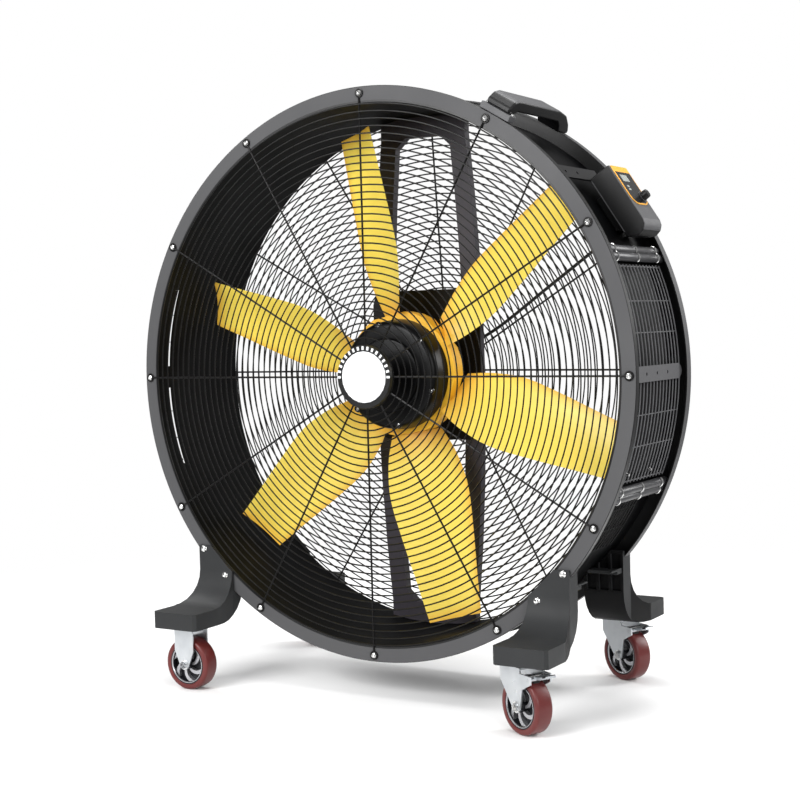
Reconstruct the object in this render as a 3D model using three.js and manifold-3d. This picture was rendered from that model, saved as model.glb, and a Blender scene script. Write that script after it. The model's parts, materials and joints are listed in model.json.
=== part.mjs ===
// Large drum fan on four castors: a short steel drum with a flanged ring at each end, flat wire
// guard in front, dished wire guard behind, wire-covered sides, a six-blade rotor driven by a motor
// on a bowed steel frame, a carrying handle and a control box on the drum's upper right, and four
// moulded feet with castor wheels (fixed on the left, swivelling with brake pedals on the right).
// Units are millimetres. +Z is up, the air leaves towards -Y, +X is to the right seen from the
// front. The origin is on the floor, under the middle of the drum.

import * as THREE from 'three';
import { mergeVertices } from 'three/addons/utils/BufferGeometryUtils.js';
import Module from 'manifold-3d';

const wasm = await Module();
wasm.setup();

// ---------------------------------------------------------------- driving dimensions

const SEAT_GAP = 0.3; // gap left between pieces that rest on each other
const AXIS_HEIGHT = 745; // fan axis above the floor
const DRUM_DEPTH = 320; // front face of the front flange to rear face of the rear flange
const DRUM_SIDES = 60; // flat facets round the drum

const LINER_INNER_R = 622;
const LINER_WALL = 4;
const FLANGE_WIDTH = 38.5;
const FLANGE_SHEET = 3;
const FRONT_LIP = 15;
const REAR_LIP = 25;

const SLOT_FROM_FRONT = 38; // light slots through the liner, behind the front flange
const SLOT_WIDTH = 12;
const SLOT_START_DEG = 2.4;
const SLOT_END_DEG = 20.5;

const SCREW_FROM_LINER = 23;
const SPOKES = 12;
const SPOKE_WIDTH = 6;
const SPOKE_EYE_R = 9;
const GUARD_WIRE = 4;
const GUARD_EDGE_CLEAR = 2; // guard's outer wire to the liner's inside
const GUARD_CENTRE_R = 66;
const GUARD_ARC_STEPS = 2; // straight lengths of ring wire between two spokes
const FRONT_GUARD_BAYS = 8;
const REAR_GUARD_BAYS = 5;
const REAR_GUARD_DISH = 60;

const BADGE_CUP_R = 74;
const BADGE_CUP_HEIGHT = 10;
const BADGE_DISC_R = 59;
const BADGE_DISC_HEIGHT = 4;

const SIDE_GUARD_CLEAR = 12; // drum sheet to the side wires
const SIDE_GUARD_HALF_DEG = 21.5;
const SIDE_WIRE_COUNT = 16;
const SIDE_WIRE_PITCH = 18.6;
const SIDE_WIRE_START = 18; // first wire behind the drum's front face
const SIDE_ARC_STEPS = 2;

const SIDE_BAR_WIDTH = 34;
const SIDE_BAR_THICKNESS = 5;
const SIDE_BAR_LENGTH = 293;
const SIDE_BAR_HOLE_R = 4;
const SIDE_BAR_HOLES_FROM_FRONT = [90, 150, 210];

const PAD_SPAN_DEG = 3.4;
const PAD_CLEAR = 8; // drum sheet to the pad
const PAD_DEPTH = 22;
const PAD_VALLEY = 5;

const ROTOR_FROM_MOTOR = 28; // rotor's middle to the motor's face
const SHAFT_R = 12;
const HUB_SEAT_R = 142; // flat on the hub that a blade root stands on
const HUB_SEAT_HALF = 45;
const HUB_DEPTH = 40;
const HUB_COVER_R = 131;
const HUB_COVER_FRONT_R = 127;
const HUB_COVER_FACE_R = 112;
const HUB_COVER_HEIGHT = 56;
const HUB_BOSS_R = 88;
const HUB_BOSS_HEIGHT = 8;
const BLADES = 6;
const BLADE_PHASE_DEG = 42;
const BLADE_TIP_CLEAR = 30; // blade tip to the drum sheet
const BLADE_THICKNESS = 5;
const BLADE_CAMBER = 9;
const BLADE_STATIONS = [ // share of the span, chord across the airflow, pitch in degrees
  { share: 0, width: 88, pitch: 44 },
  { share: 0.14, width: 130, pitch: 38 },
  { share: 0.32, width: 157, pitch: 33 },
  { share: 0.55, width: 148, pitch: 30 },
  { share: 0.78, width: 130, pitch: 27 },
  { share: 1, width: 114, pitch: 24 },
];

const MOTOR_R = 115;
const MOTOR_DEPTH = 76;
const MOTOR_BOSS_R = 42;
const MOTOR_BOSS_HEIGHT = 5;
const MOTOR_CAP_CLEAR = 6; // motor cap to the frame's bars
const MOTOR_CAP_DEPTH = 70;
const MOTOR_PLATE_WIDTH = 300;
const MOTOR_PLATE_TOP = 200;
const MOTOR_PLATE_BOTTOM = -165;
const MOTOR_PLATE_CORNER = 34;
const MOTOR_PLATE_THICKNESS = 6;
const MOTOR_PLATE_FROM_REAR = 48;

const FRAME_DEPTH = 22;
const FRAME_SHEET = 4;
const FRAME_BAR_WIDTH = 44;
const FRAME_HALF_SPAN_END = 96; // bar centre to the middle of the fan, at the drum wall
const FRAME_BOW = 29;
const FRAME_END_BAND = 50; // end piece of the frame, at the drum sheet
const FRAME_CURVE_STEPS = 8;
const FRAME_WINDOW_CORNER = 26;

const CABLE_R = 4;
const CABLE_CLEAR = 7; // cable surface to the rear guard
const CABLE_SIDES = 8;
const CABLE_STEPS = 20;
const CABLE_ANGLE_DEG = 33;
const GLAND_R = 12;
const GLAND_HEIGHT = 16;

const HANDLE_ANGLE_DEG = 58.9;
const HANDLE_WIDTH = 62;
const HANDLE_RISE = 23.5; // flange edge to the underside of the grip
const HANDLE_THICKNESS = 25;
const HANDLE_BASE_HEIGHT = 15;
const HANDLE_BASE_WIDTH = 80;
const HANDLE_BASE_DEPTH = 28;
const HANDLE_REAR_LEG = 50;

const BOX_ANGLE_DEG = 33.4;
const BOX_LENGTH = 168;
const BOX_RISE = 19; // drum sheet to the back of the housing
const BOX_THICKNESS = 54;
const BOX_FRONT_Y = 0;
const BOX_DEPTH = 100;
const BOX_CORNER = 24;
const PANEL_LENGTH = 104;
const PANEL_WIDTH = 88;
const PANEL_THICKNESS = 2;
const PANEL_CORNER = 26;
const KNOB_R = 11;
const KNOB_HEIGHT = 15;
const KNOB_FROM_BOX_MIDDLE = 1;
const KNOB_Y = 78;
const BOX_SEAT_LENGTH = 84;
const BOX_SEAT_INSET = 14;
const STRAP_RISE = 14; // drum sheet to the strap
const STRAP_WIDTH = 32;
const STRAP_THICKNESS = 4;
const STRAP_TAB_HEIGHT = 30;
const STRAP_TAB_LENGTH = 56;
const STRAP_HOLE_R = 4;
const STRAP_HOLES_FROM_FRONT = [60, 120];

const FOOT_CENTRE_X = 459;
const FOOT_WIDTH = 128;
const FOOT_INNER_TAPER = 8; // how far the wall stands in from the pad, towards the middle
const FOOT_OUTER_TAPER = 21; // and on the outer side
const FOOT_TAPER_LENGTH = 70;
const FOOT_NOSE_CORNER = 7;
const FOOT_WALL = 42;
const FOOT_PLATE = 7; // the foot's face stands this far in front of the flange
const FOOT_POCKETS = 3;
const FOOT_POCKET_DEPTH = 8;
const FOOT_RIB = 7;
const FOOT_BASE_HEIGHT = 151;
const FOOT_PAD_THICKNESS = 40;
const FOOT_REACH = 158.5; // pad end in front of the foot's face
const FOOT_OUTER_BEND = 85;
const FOOT_INNER_BEND = 80;
const FOOT_TOP = 330;
const FOOT_BEND_STEPS = 6;

const CASTOR_X = 454;
const CASTOR_Y = 268;
const WHEEL_R = 62.5;
const WHEEL_WIDTH = 42;
const WHEEL_SIDES = 24;
const TYRE_THICKNESS = 14;
const WHEEL_HUB_LENGTH = 48;
const WHEEL_HUB_R = 13;
const AXLE_R = 6;
const AXLE_HEAD_R = 9;
const AXLE_HEAD_HEIGHT = 5;
const FORK_INNER_WIDTH = 50;
const FORK_SHEET = 4;
const FORK_CROWN_HEIGHT = 11;
const FORK_EYE_R = 13;
const FORK_HALF = 28;
const FIXED_SHOULDER = 34; // axle up to where a leg starts to narrow
const SWIVEL_SHOULDER = 52;
const SWIVEL_TRAIL = 25;
const SWIVEL_YAW_DEG = -25; // how far the photographed right castors have turned
const SWIVEL_PLATE_SIZE = 70;
const SWIVEL_PLATE_THICKNESS = 5;
const KINGPIN_R = 9;
const PEDAL_PIVOT_X = 38; // brake pivot from the wheel's middle
const PEDAL_PIVOT_Z = 125;
const PEDAL_BARREL_R = 5;
const PEDAL_PIN_R = 3;
const PEDAL_LENGTH = 44;
const PEDAL_WIDTH = 26;
const PEDAL_THICKNESS = 4;

// ---------------------------------------------------------------- derived sizes

const FRONT_Y = -DRUM_DEPTH / 2;
const REAR_Y = DRUM_DEPTH / 2;
const LINER_OUTER_R = LINER_INNER_R + LINER_WALL;
const FLANGE_OUTER_R = LINER_INNER_R + FLANGE_WIDTH;
const SCREW_CIRCLE_R = LINER_INNER_R + SCREW_FROM_LINER;
const GUARD_OUTER_R = LINER_INNER_R - GUARD_EDGE_CLEAR;
const SIDE_GUARD_R = LINER_OUTER_R + SIDE_GUARD_CLEAR + GUARD_WIRE / 2;
const PAD_INNER_R = LINER_OUTER_R + PAD_CLEAR;
const PAD_OUTER_R = PAD_INNER_R + PAD_DEPTH;
const BLADE_TIP_R = LINER_INNER_R - BLADE_TIP_CLEAR;
const HANDLE_UNDER_R = FLANGE_OUTER_R + HANDLE_RISE;
const HANDLE_TOP_R = HANDLE_UNDER_R + HANDLE_THICKNESS;
const BOX_INNER_R = LINER_OUTER_R + BOX_RISE;
const BOX_OUTER_R = BOX_INNER_R + BOX_THICKNESS;
const STRAP_R = LINER_OUTER_R + STRAP_RISE;
const LINER_APOTHEM = LINER_INNER_R * Math.cos(Math.PI / DRUM_SIDES);
const GUARD_FRONT_Y = FRONT_Y - SEAT_GAP - GUARD_WIRE;
const MOTOR_PLATE_Y = REAR_Y - MOTOR_PLATE_FROM_REAR;
const MOTOR_BACK_Y = MOTOR_PLATE_Y - SEAT_GAP;
const MOTOR_FRONT_Y = MOTOR_PLATE_Y - MOTOR_DEPTH;
const ROTOR_CENTRE_Y = MOTOR_FRONT_Y - ROTOR_FROM_MOTOR;
const FRAME_WINDOW_HALF_HEIGHT = LINER_INNER_R - FRAME_END_BAND;
const FOOT_FACE_Y = FRONT_Y - FOOT_PLATE;
const FRAME_Y = MOTOR_PLATE_Y + MOTOR_PLATE_THICKNESS + SEAT_GAP;
const HUB_FRONT_Y = ROTOR_CENTRE_Y - HUB_DEPTH / 2;
const HUB_BACK_Y = ROTOR_CENTRE_Y + HUB_DEPTH / 2;
const FORK_TOP = FOOT_BASE_HEIGHT - SEAT_GAP;
const CORE_R = WHEEL_R - TYRE_THICKNESS;
const KNOB_R_BASE = BOX_OUTER_R + SEAT_GAP + PANEL_THICKNESS + SEAT_GAP;

// ---------------------------------------------------------------- materials

function finish(color, roughness, metalness) {
  return new THREE.MeshStandardMaterial({ color, roughness, metalness });
}

const FLANGE_GREY = finish(0x4c4d4f, 0.5, 0.6);
const LINER_BLACK = finish(0x121213, 0.6, 0.5);
const WIRE_BLACK = finish(0x1b1a1a, 0.45, 0.6);
const WIRE_GREY = finish(0x8b8c8e, 0.4, 0.7);
const BLADE_YELLOW = finish(0xf6dc3a, 0.4, 0.0);
const FRAME_GREY = finish(0x57565a, 0.5, 0.5);
const MOTOR_BLACK = finish(0x1a191b, 0.55, 0.5);
const SHAFT_STEEL = finish(0xb0b2b5, 0.3, 1.0);
const PAD_GREY = finish(0x77787a, 0.6, 0.1);
const PLASTIC_BLACK = finish(0x161617, 0.5, 0.0);
const PLASTIC_GREY = finish(0x6d6e70, 0.5, 0.0);
const FOOT_GREY = finish(0x3a3b3d, 0.55, 0.1);
const BADGE_WHITE = finish(0xf2f2f0, 0.4, 0.0);
const PANEL_YELLOW = finish(0xe8b93c, 0.5, 0.0);
const ZINC = finish(0xc7ccd0, 0.35, 1.0);
const TYRE_MAROON = finish(0x6c2d2c, 0.6, 0.0);
const CORE_BLACK = finish(0x17181b, 0.5, 0.0);

// ---------------------------------------------------------------- geometry helpers

function signedVolume(positions, indices) {
  const a = new THREE.Vector3();
  const b = new THREE.Vector3();
  const c = new THREE.Vector3();
  let volume = 0;
  for (let i = 0; i < indices.length; i += 3) {
    a.fromArray(positions, indices[i] * 3);
    b.fromArray(positions, indices[i + 1] * 3);
    c.fromArray(positions, indices[i + 2] * 3);
    volume += a.dot(b.cross(c)) / 6;
  }
  return volume;
}

// One closed body: shared corners merged, empty triangles dropped, faces turned outwards.
function closed(geometry) {
  const bare = geometry.clone();
  bare.deleteAttribute('normal');
  bare.deleteAttribute('uv');
  const merged = mergeVertices(bare, 1e-4);
  const source = Array.from(merged.index.array);
  const kept = [];
  for (let i = 0; i < source.length; i += 3) {
    const [a, b, c] = source.slice(i, i + 3);
    if (a !== b && b !== c && a !== c) {
      kept.push(a, b, c);
    }
  }
  if (signedVolume(merged.attributes.position.array, kept) < 0) {
    for (let i = 0; i < kept.length; i += 3) {
      [kept[i], kept[i + 1]] = [kept[i + 1], kept[i]];
    }
  }
  merged.setIndex(kept);
  return merged;
}

function toSolid(geometry) {
  const body = closed(geometry);
  return new wasm.Manifold(new wasm.Mesh({
    numProp: 3,
    vertProperties: new Float32Array(body.attributes.position.array),
    triVerts: new Uint32Array(body.index.array),
  }));
}

function toGeometry(solid) {
  const mesh = solid.getMesh();
  const geometry = new THREE.BufferGeometry();
  geometry.setAttribute('position', new THREE.BufferAttribute(mesh.vertProperties, 3));
  geometry.setIndex(new THREE.BufferAttribute(mesh.triVerts, 1));
  return geometry;
}

function cut(base, ...tools) {
  return toGeometry(tools.reduce((solid, tool) => solid.subtract(toSolid(tool)), toSolid(base)));
}

function join(...pieces) {
  return toGeometry(pieces.map(toSolid).reduce((solid, piece) => solid.add(piece)));
}

function keepInside(base, limit) {
  return toGeometry(toSolid(base).intersect(toSolid(limit)));
}

function shapeOf(points, holes = []) {
  const outline = points.map(([x, y]) => new THREE.Vector2(x, y));
  if (THREE.ShapeUtils.isClockWise(outline)) {
    outline.reverse();
  }
  const shape = new THREE.Shape(outline);
  for (const hole of holes) {
    shape.holes.push(new THREE.Path(hole.map(([x, y]) => new THREE.Vector2(x, y))));
  }
  return shape;
}

const X_AXIS = new THREE.Vector3(1, 0, 0);
const Y_AXIS = new THREE.Vector3(0, 1, 0);
const Z_AXIS = new THREE.Vector3(0, 0, 1);

function extrude(shape, depth, right, up, out) {
  const geometry = new THREE.ExtrudeGeometry(shape, { depth, bevelEnabled: false, curveSegments: 6 });
  return geometry.applyMatrix4(new THREE.Matrix4().makeBasis(right, up, out));
}

// Outline drawn in X and Z, between two depths along Y.
function extrudeY(shape, fromY, toY) {
  return extrude(shape, toY - fromY, X_AXIS, Z_AXIS, Y_AXIS.clone().negate()).translate(0, toY, 0);
}

// Outline drawn in Y and Z, between two places along X.
function extrudeX(shape, fromX, toX) {
  return extrude(shape, toX - fromX, Y_AXIS, Z_AXIS, X_AXIS).translate(fromX, 0, 0);
}

// Outline drawn in X and Y, between two heights.
function extrudeZ(shape, fromZ, toZ) {
  return extrude(shape, toZ - fromZ, X_AXIS, Y_AXIS, Z_AXIS).translate(0, 0, fromZ);
}

// Outline drawn in Y and X, centred on Z.
function extrudeAcross(shape, width) {
  return extrude(shape, width, Y_AXIS, X_AXIS, Z_AXIS.clone().negate()).translate(0, 0, width / 2);
}

// Body of revolution round Y from points of [radius, y].
function turn(points, sides) {
  return new THREE.LatheGeometry(points.map(([r, y]) => new THREE.Vector2(r, y)), sides);
}

function turnedRing(points, sides) {
  return turn([...points, points[0]], sides);
}

function disc(radius, fromY, toY, sides) {
  return turn([[0, fromY], [radius, fromY], [radius, toY], [0, toY]], sides);
}

function box(fromX, toX, fromY, toY, fromZ, toZ) {
  return new THREE.BoxGeometry(toX - fromX, toY - fromY, toZ - fromZ)
    .translate((fromX + toX) / 2, (fromY + toY) / 2, (fromZ + toZ) / 2);
}

function polar(radius, degrees, sideways = 0) {
  const angle = THREE.MathUtils.degToRad(degrees);
  return [
    radius * Math.cos(angle) - sideways * Math.sin(angle),
    radius * Math.sin(angle) + sideways * Math.cos(angle),
  ];
}

function arc(radius, fromDeg, toDeg, steps) {
  const points = [];
  for (let i = 0; i <= steps; i += 1) {
    points.push(polar(radius, fromDeg + ((toDeg - fromDeg) * i) / steps));
  }
  return points;
}

function sector(innerR, outerR, fromDeg, toDeg, steps) {
  return shapeOf([...arc(outerR, fromDeg, toDeg, steps), ...arc(innerR, toDeg, fromDeg, steps)]);
}

function circle(radius, sides, centreX = 0, centreY = 0) {
  const points = [];
  for (let i = 0; i < sides; i += 1) {
    const [x, y] = polar(radius, (360 * i) / sides);
    points.push([centreX + x, centreY + y]);
  }
  return points;
}

function roundedRectangle(fromX, toX, fromY, toY, corner, steps) {
  const corners = [
    [toX - corner, fromY + corner, -90],
    [toX - corner, toY - corner, 0],
    [fromX + corner, toY - corner, 90],
    [fromX + corner, fromY + corner, 180],
  ];
  const points = [];
  for (const [x, y, start] of corners) {
    for (let i = 0; i <= steps; i += 1) {
      const [dx, dy] = polar(corner, start + (90 * i) / steps);
      points.push([x + dx, y + dy]);
    }
  }
  return points;
}

// ---------------------------------------------------------------- scene graph helpers

const fan = new THREE.Group();
const onAxis = new THREE.Group();
onAxis.position.z = AXIS_HEIGHT;
fan.add(onAxis);

function piece(parent, name, geometry, material) {
  const mesh = new THREE.Mesh(closed(geometry), material);
  mesh.name = name;
  parent.add(mesh);
  return mesh;
}

// A frame on the fan axis whose X points outwards at an angle and whose Z runs round the drum.
function frameAtAngle(degrees) {
  const frame = new THREE.Group();
  frame.rotation.y = -THREE.MathUtils.degToRad(degrees);
  onAxis.add(frame);
  return frame;
}

// ---------------------------------------------------------------- drum

function flangeRing(faceY, inward, lip) {
  return turnedRing([
    [LINER_INNER_R, faceY],
    [FLANGE_OUTER_R, faceY],
    [FLANGE_OUTER_R, faceY + inward * lip],
    [FLANGE_OUTER_R - FLANGE_SHEET, faceY + inward * lip],
    [FLANGE_OUTER_R - FLANGE_SHEET, faceY + inward * FLANGE_SHEET],
    [LINER_INNER_R, faceY + inward * FLANGE_SHEET],
  ], DRUM_SIDES);
}

function linerWithSlots() {
  const front = FRONT_Y + FLANGE_SHEET + SEAT_GAP;
  const rear = REAR_Y - FLANGE_SHEET - SEAT_GAP;
  const tube = turnedRing([
    [LINER_INNER_R, front],
    [LINER_OUTER_R, front],
    [LINER_OUTER_R, rear],
    [LINER_INNER_R, rear],
  ], DRUM_SIDES);
  const past = 12;
  const slots = [];
  for (const side of [0, 180]) {
    for (const sense of [1, -1]) {
      const from = side + sense * SLOT_START_DEG;
      const to = side + sense * SLOT_END_DEG;
      const outline = sector(
        LINER_INNER_R - past,
        LINER_OUTER_R + past,
        Math.min(from, to),
        Math.max(from, to),
        SIDE_ARC_STEPS,
      );
      const start = FRONT_Y + SLOT_FROM_FRONT;
      slots.push(extrudeY(outline, start, start + SLOT_WIDTH));
    }
  }
  return cut(tube, ...slots);
}

// Room for a round part of the drum between two depths, clear of its facets.
function roundRoom(radius, fromY, toY) {
  const cornerR = (radius + SEAT_GAP) / Math.cos(Math.PI / DRUM_SIDES);
  return disc(cornerR, fromY, toY, DRUM_SIDES);
}

piece(onAxis, 'front_ring', flangeRing(FRONT_Y, 1, FRONT_LIP), FLANGE_GREY);
piece(onAxis, 'rear_ring', flangeRing(REAR_Y, -1, REAR_LIP), FLANGE_GREY);
piece(onAxis, 'drum_liner', linerWithSlots(), LINER_BLACK);

// ---------------------------------------------------------------- wire guards

// Spokes and rings as one flat lattice, with an eye on each spoke end for its screw.
function guardLattice(bays) {
  const outline = [];
  const step = 360 / SPOKES;
  const rimHalf = GUARD_WIRE / 2;
  for (let spoke = 0; spoke < SPOKES; spoke += 1) {
    const at = spoke * step;
    const clear = THREE.MathUtils.radToDeg(Math.asin(SPOKE_WIDTH / 2 / (GUARD_OUTER_R + rimHalf)));
    outline.push(polar(SCREW_CIRCLE_R - SPOKE_EYE_R, at, -SPOKE_WIDTH / 2));
    outline.push(polar(SCREW_CIRCLE_R - SPOKE_EYE_R / 2, at, -SPOKE_EYE_R));
    outline.push(polar(SCREW_CIRCLE_R + SPOKE_EYE_R, at, -SPOKE_EYE_R / 2));
    outline.push(polar(SCREW_CIRCLE_R + SPOKE_EYE_R, at, SPOKE_EYE_R / 2));
    outline.push(polar(SCREW_CIRCLE_R - SPOKE_EYE_R / 2, at, SPOKE_EYE_R));
    outline.push(polar(SCREW_CIRCLE_R - SPOKE_EYE_R, at, SPOKE_WIDTH / 2));
    outline.push(...arc(GUARD_OUTER_R + rimHalf, at + clear, at + step - clear, GUARD_ARC_STEPS));
  }
  const holes = [];
  const bayDepth = (GUARD_OUTER_R - GUARD_CENTRE_R) / bays;
  for (let bay = 0; bay < bays; bay += 1) {
    const inner = GUARD_CENTRE_R + bay * bayDepth + rimHalf;
    const outer = inner + bayDepth - GUARD_WIRE;
    for (let spoke = 0; spoke < SPOKES; spoke += 1) {
      const at = spoke * step;
      const innerClear = THREE.MathUtils.radToDeg(Math.asin(SPOKE_WIDTH / 2 / inner));
      const outerClear = THREE.MathUtils.radToDeg(Math.asin(SPOKE_WIDTH / 2 / outer));
      holes.push([
        ...arc(outer, at + outerClear, at + step - outerClear, GUARD_ARC_STEPS),
        ...arc(inner, at + step - innerClear, at + innerClear, GUARD_ARC_STEPS),
      ]);
    }
  }
  return shapeOf(outline, holes);
}

// Pushes the middle of a flat lattice back, so that its spokes lie on a shallow cone.
function dished(geometry, depth) {
  const place = geometry.attributes.position;
  for (let i = 0; i < place.count; i += 1) {
    const radius = Math.hypot(place.getX(i), place.getZ(i));
    const share = Math.max(0, 1 - radius / GUARD_OUTER_R);
    place.setY(i, place.getY(i) + depth * share);
  }
  return geometry;
}

const frontGuard = extrudeY(guardLattice(FRONT_GUARD_BAYS), GUARD_FRONT_Y, GUARD_FRONT_Y + GUARD_WIRE);
piece(onAxis, 'front_guard', frontGuard, WIRE_BLACK);

const rearGuardY = REAR_Y + SEAT_GAP;
const rearGuard = extrudeY(guardLattice(REAR_GUARD_BAYS), rearGuardY, rearGuardY + GUARD_WIRE);
piece(onAxis, 'rear_guard', dished(rearGuard, REAR_GUARD_DISH), WIRE_BLACK);

const cupBack = GUARD_FRONT_Y - SEAT_GAP;
const cupFront = cupBack - BADGE_CUP_HEIGHT;
const badgeCup = turn([
  [0, cupBack],
  [BADGE_CUP_R, cupBack],
  [BADGE_CUP_R - 2, cupFront],
  [BADGE_DISC_R + 1, cupFront],
  [BADGE_DISC_R + 1, cupFront + BADGE_DISC_HEIGHT],
  [0, cupFront + BADGE_DISC_HEIGHT],
], 24);
piece(onAxis, 'badge_cup', badgeCup, PLASTIC_BLACK);
const discBack = cupFront + BADGE_DISC_HEIGHT - SEAT_GAP;
const badgeDisc = turn([
  [0, discBack],
  [BADGE_DISC_R, discBack],
  [BADGE_DISC_R, cupFront],
  [BADGE_DISC_R - 6, cupFront - 1.5],
  [0, cupFront - 2],
], 24);
piece(onAxis, 'badge_disc', badgeDisc, BADGE_WHITE);

// ---------------------------------------------------------------- drum sides

// A slab made of the filled cells between grid lines, each grid point placed by a function.
function latticeSlab(columns, rows, filled, place) {
  const positions = [];
  for (const column of columns) {
    for (const row of rows) {
      positions.push(...place(column, row, 0), ...place(column, row, 1));
    }
  }
  const indices = [];
  const corner = (i, j, layer) => (i * rows.length + j) * 2 + layer;
  const quad = (a, b, c, d) => indices.push(a, b, c, a, c, d);
  const inside = (i, j) => i >= 0 && j >= 0 && i < columns.length - 1 && j < rows.length - 1;
  const has = (i, j) => inside(i, j) && filled(i, j);
  const wall = (i, j, k, l) => quad(corner(i, j, 0), corner(i, j, 1), corner(k, l, 1), corner(k, l, 0));
  for (let i = 0; i < columns.length - 1; i += 1) {
    for (let j = 0; j < rows.length - 1; j += 1) {
      if (!has(i, j)) {
        continue;
      }
      quad(corner(i, j, 1), corner(i + 1, j, 1), corner(i + 1, j + 1, 1), corner(i, j + 1, 1));
      quad(corner(i, j, 0), corner(i, j + 1, 0), corner(i + 1, j + 1, 0), corner(i + 1, j, 0));
      if (!has(i - 1, j)) {
        wall(i, j, i, j + 1);
      }
      if (!has(i + 1, j)) {
        wall(i + 1, j + 1, i + 1, j);
      }
      if (!has(i, j - 1)) {
        wall(i + 1, j, i, j);
      }
      if (!has(i, j + 1)) {
        wall(i, j + 1, i + 1, j + 1);
      }
    }
  }
  const geometry = new THREE.BufferGeometry();
  geometry.setAttribute('position', new THREE.BufferAttribute(new Float32Array(positions), 3));
  geometry.setIndex(indices);
  return geometry;
}

// Wires round part of the drum, tied together by a rod at each end and one in the middle.
function sideGuard() {
  const half = SIDE_GUARD_HALF_DEG;
  const wire = GUARD_WIRE / 2;
  const rod = THREE.MathUtils.radToDeg(GUARD_WIRE / SIDE_GUARD_R);
  const columns = [-half, -half + rod];
  const rods = new Set([0]);
  for (let i = 1; i < SIDE_ARC_STEPS; i += 1) {
    columns.push(-half + rod + ((half - 1.5 * rod) * i) / SIDE_ARC_STEPS);
  }
  rods.add(columns.length);
  columns.push(-rod / 2);
  columns.push(...[...columns].reverse().map((angle) => -angle));
  rods.add(columns.length - 2);
  const rows = [];
  for (let i = 0; i < SIDE_WIRE_COUNT; i += 1) {
    const middle = FRONT_Y + SIDE_WIRE_START + i * SIDE_WIRE_PITCH;
    rows.push(middle - wire, middle + wire);
  }
  const place = (angle, y, layer) => {
    const [x, z] = polar(SIDE_GUARD_R - wire + layer * GUARD_WIRE, angle);
    return [x, y, z];
  };
  return latticeSlab(columns, rows, (i, j) => j % 2 === 0 || rods.has(i), place);
}

// A moulded grip block between the two flanges, at one end of the side wires.
function sidePad(sense) {
  const clear = THREE.MathUtils.radToDeg(SEAT_GAP / SIDE_GUARD_R);
  const from = sense * (SIDE_GUARD_HALF_DEG + clear);
  const to = sense * (SIDE_GUARD_HALF_DEG + clear + PAD_SPAN_DEG);
  const low = Math.min(from, to);
  const high = Math.max(from, to);
  const middle = (low + high) / 2;
  const outline = [
    ...arc(PAD_INNER_R, high, low, 2),
    polar(PAD_OUTER_R - PAD_VALLEY, low),
    polar(PAD_OUTER_R, (low + middle) / 2),
    polar(PAD_OUTER_R - PAD_VALLEY, middle),
    polar(PAD_OUTER_R, (high + middle) / 2),
    polar(PAD_OUTER_R - PAD_VALLEY, high),
  ];
  const end = FLANGE_SHEET + SEAT_GAP;
  return extrudeY(shapeOf(outline), FRONT_Y + end, REAR_Y - end);
}

function sideBar() {
  const innerX = SIDE_GUARD_R + GUARD_WIRE / 2 + SEAT_GAP;
  const front = FRONT_Y + FLANGE_SHEET + SEAT_GAP;
  const half = SIDE_BAR_WIDTH / 2;
  const outline = [
    [front, half],
    [front, -half],
    [front + SIDE_BAR_LENGTH - half, -half],
    [front + SIDE_BAR_LENGTH - half / 4, -half / 2],
    [front + SIDE_BAR_LENGTH, 0],
    [front + SIDE_BAR_LENGTH - half / 4, half / 2],
    [front + SIDE_BAR_LENGTH - half, half],
  ];
  const holes = SIDE_BAR_HOLES_FROM_FRONT.map((at) => circle(SIDE_BAR_HOLE_R, 10, FRONT_Y + at, 0));
  return extrudeX(shapeOf(outline, holes), innerX, innerX + SIDE_BAR_THICKNESS);
}

for (const [side, degrees] of [['right', 0], ['left', 180]]) {
  const frame = frameAtAngle(degrees);
  const upper = degrees === 0 ? 1 : -1;
  piece(frame, `side_guard_${side}`, sideGuard(), WIRE_GREY);
  piece(frame, `side_bar_${side}`, sideBar(), PAD_GREY);
  piece(frame, `side_pad_upper_${side}`, sidePad(upper), PAD_GREY);
  piece(frame, `side_pad_lower_${side}`, sidePad(-upper), PAD_GREY);
}

// ---------------------------------------------------------------- motor and its frame

function frameBarCentre(z) {
  return FRAME_HALF_SPAN_END + FRAME_BOW * (1 - (z / FRAME_WINDOW_HALF_HEIGHT) ** 2);
}

function bowedEdge(offset, halfHeight, side) {
  const points = [];
  for (let i = 0; i <= FRAME_CURVE_STEPS; i += 1) {
    const z = halfHeight * (1 - (2 * i) / FRAME_CURVE_STEPS);
    points.push([side * (frameBarCentre(z) + offset), z]);
  }
  return points;
}

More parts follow.
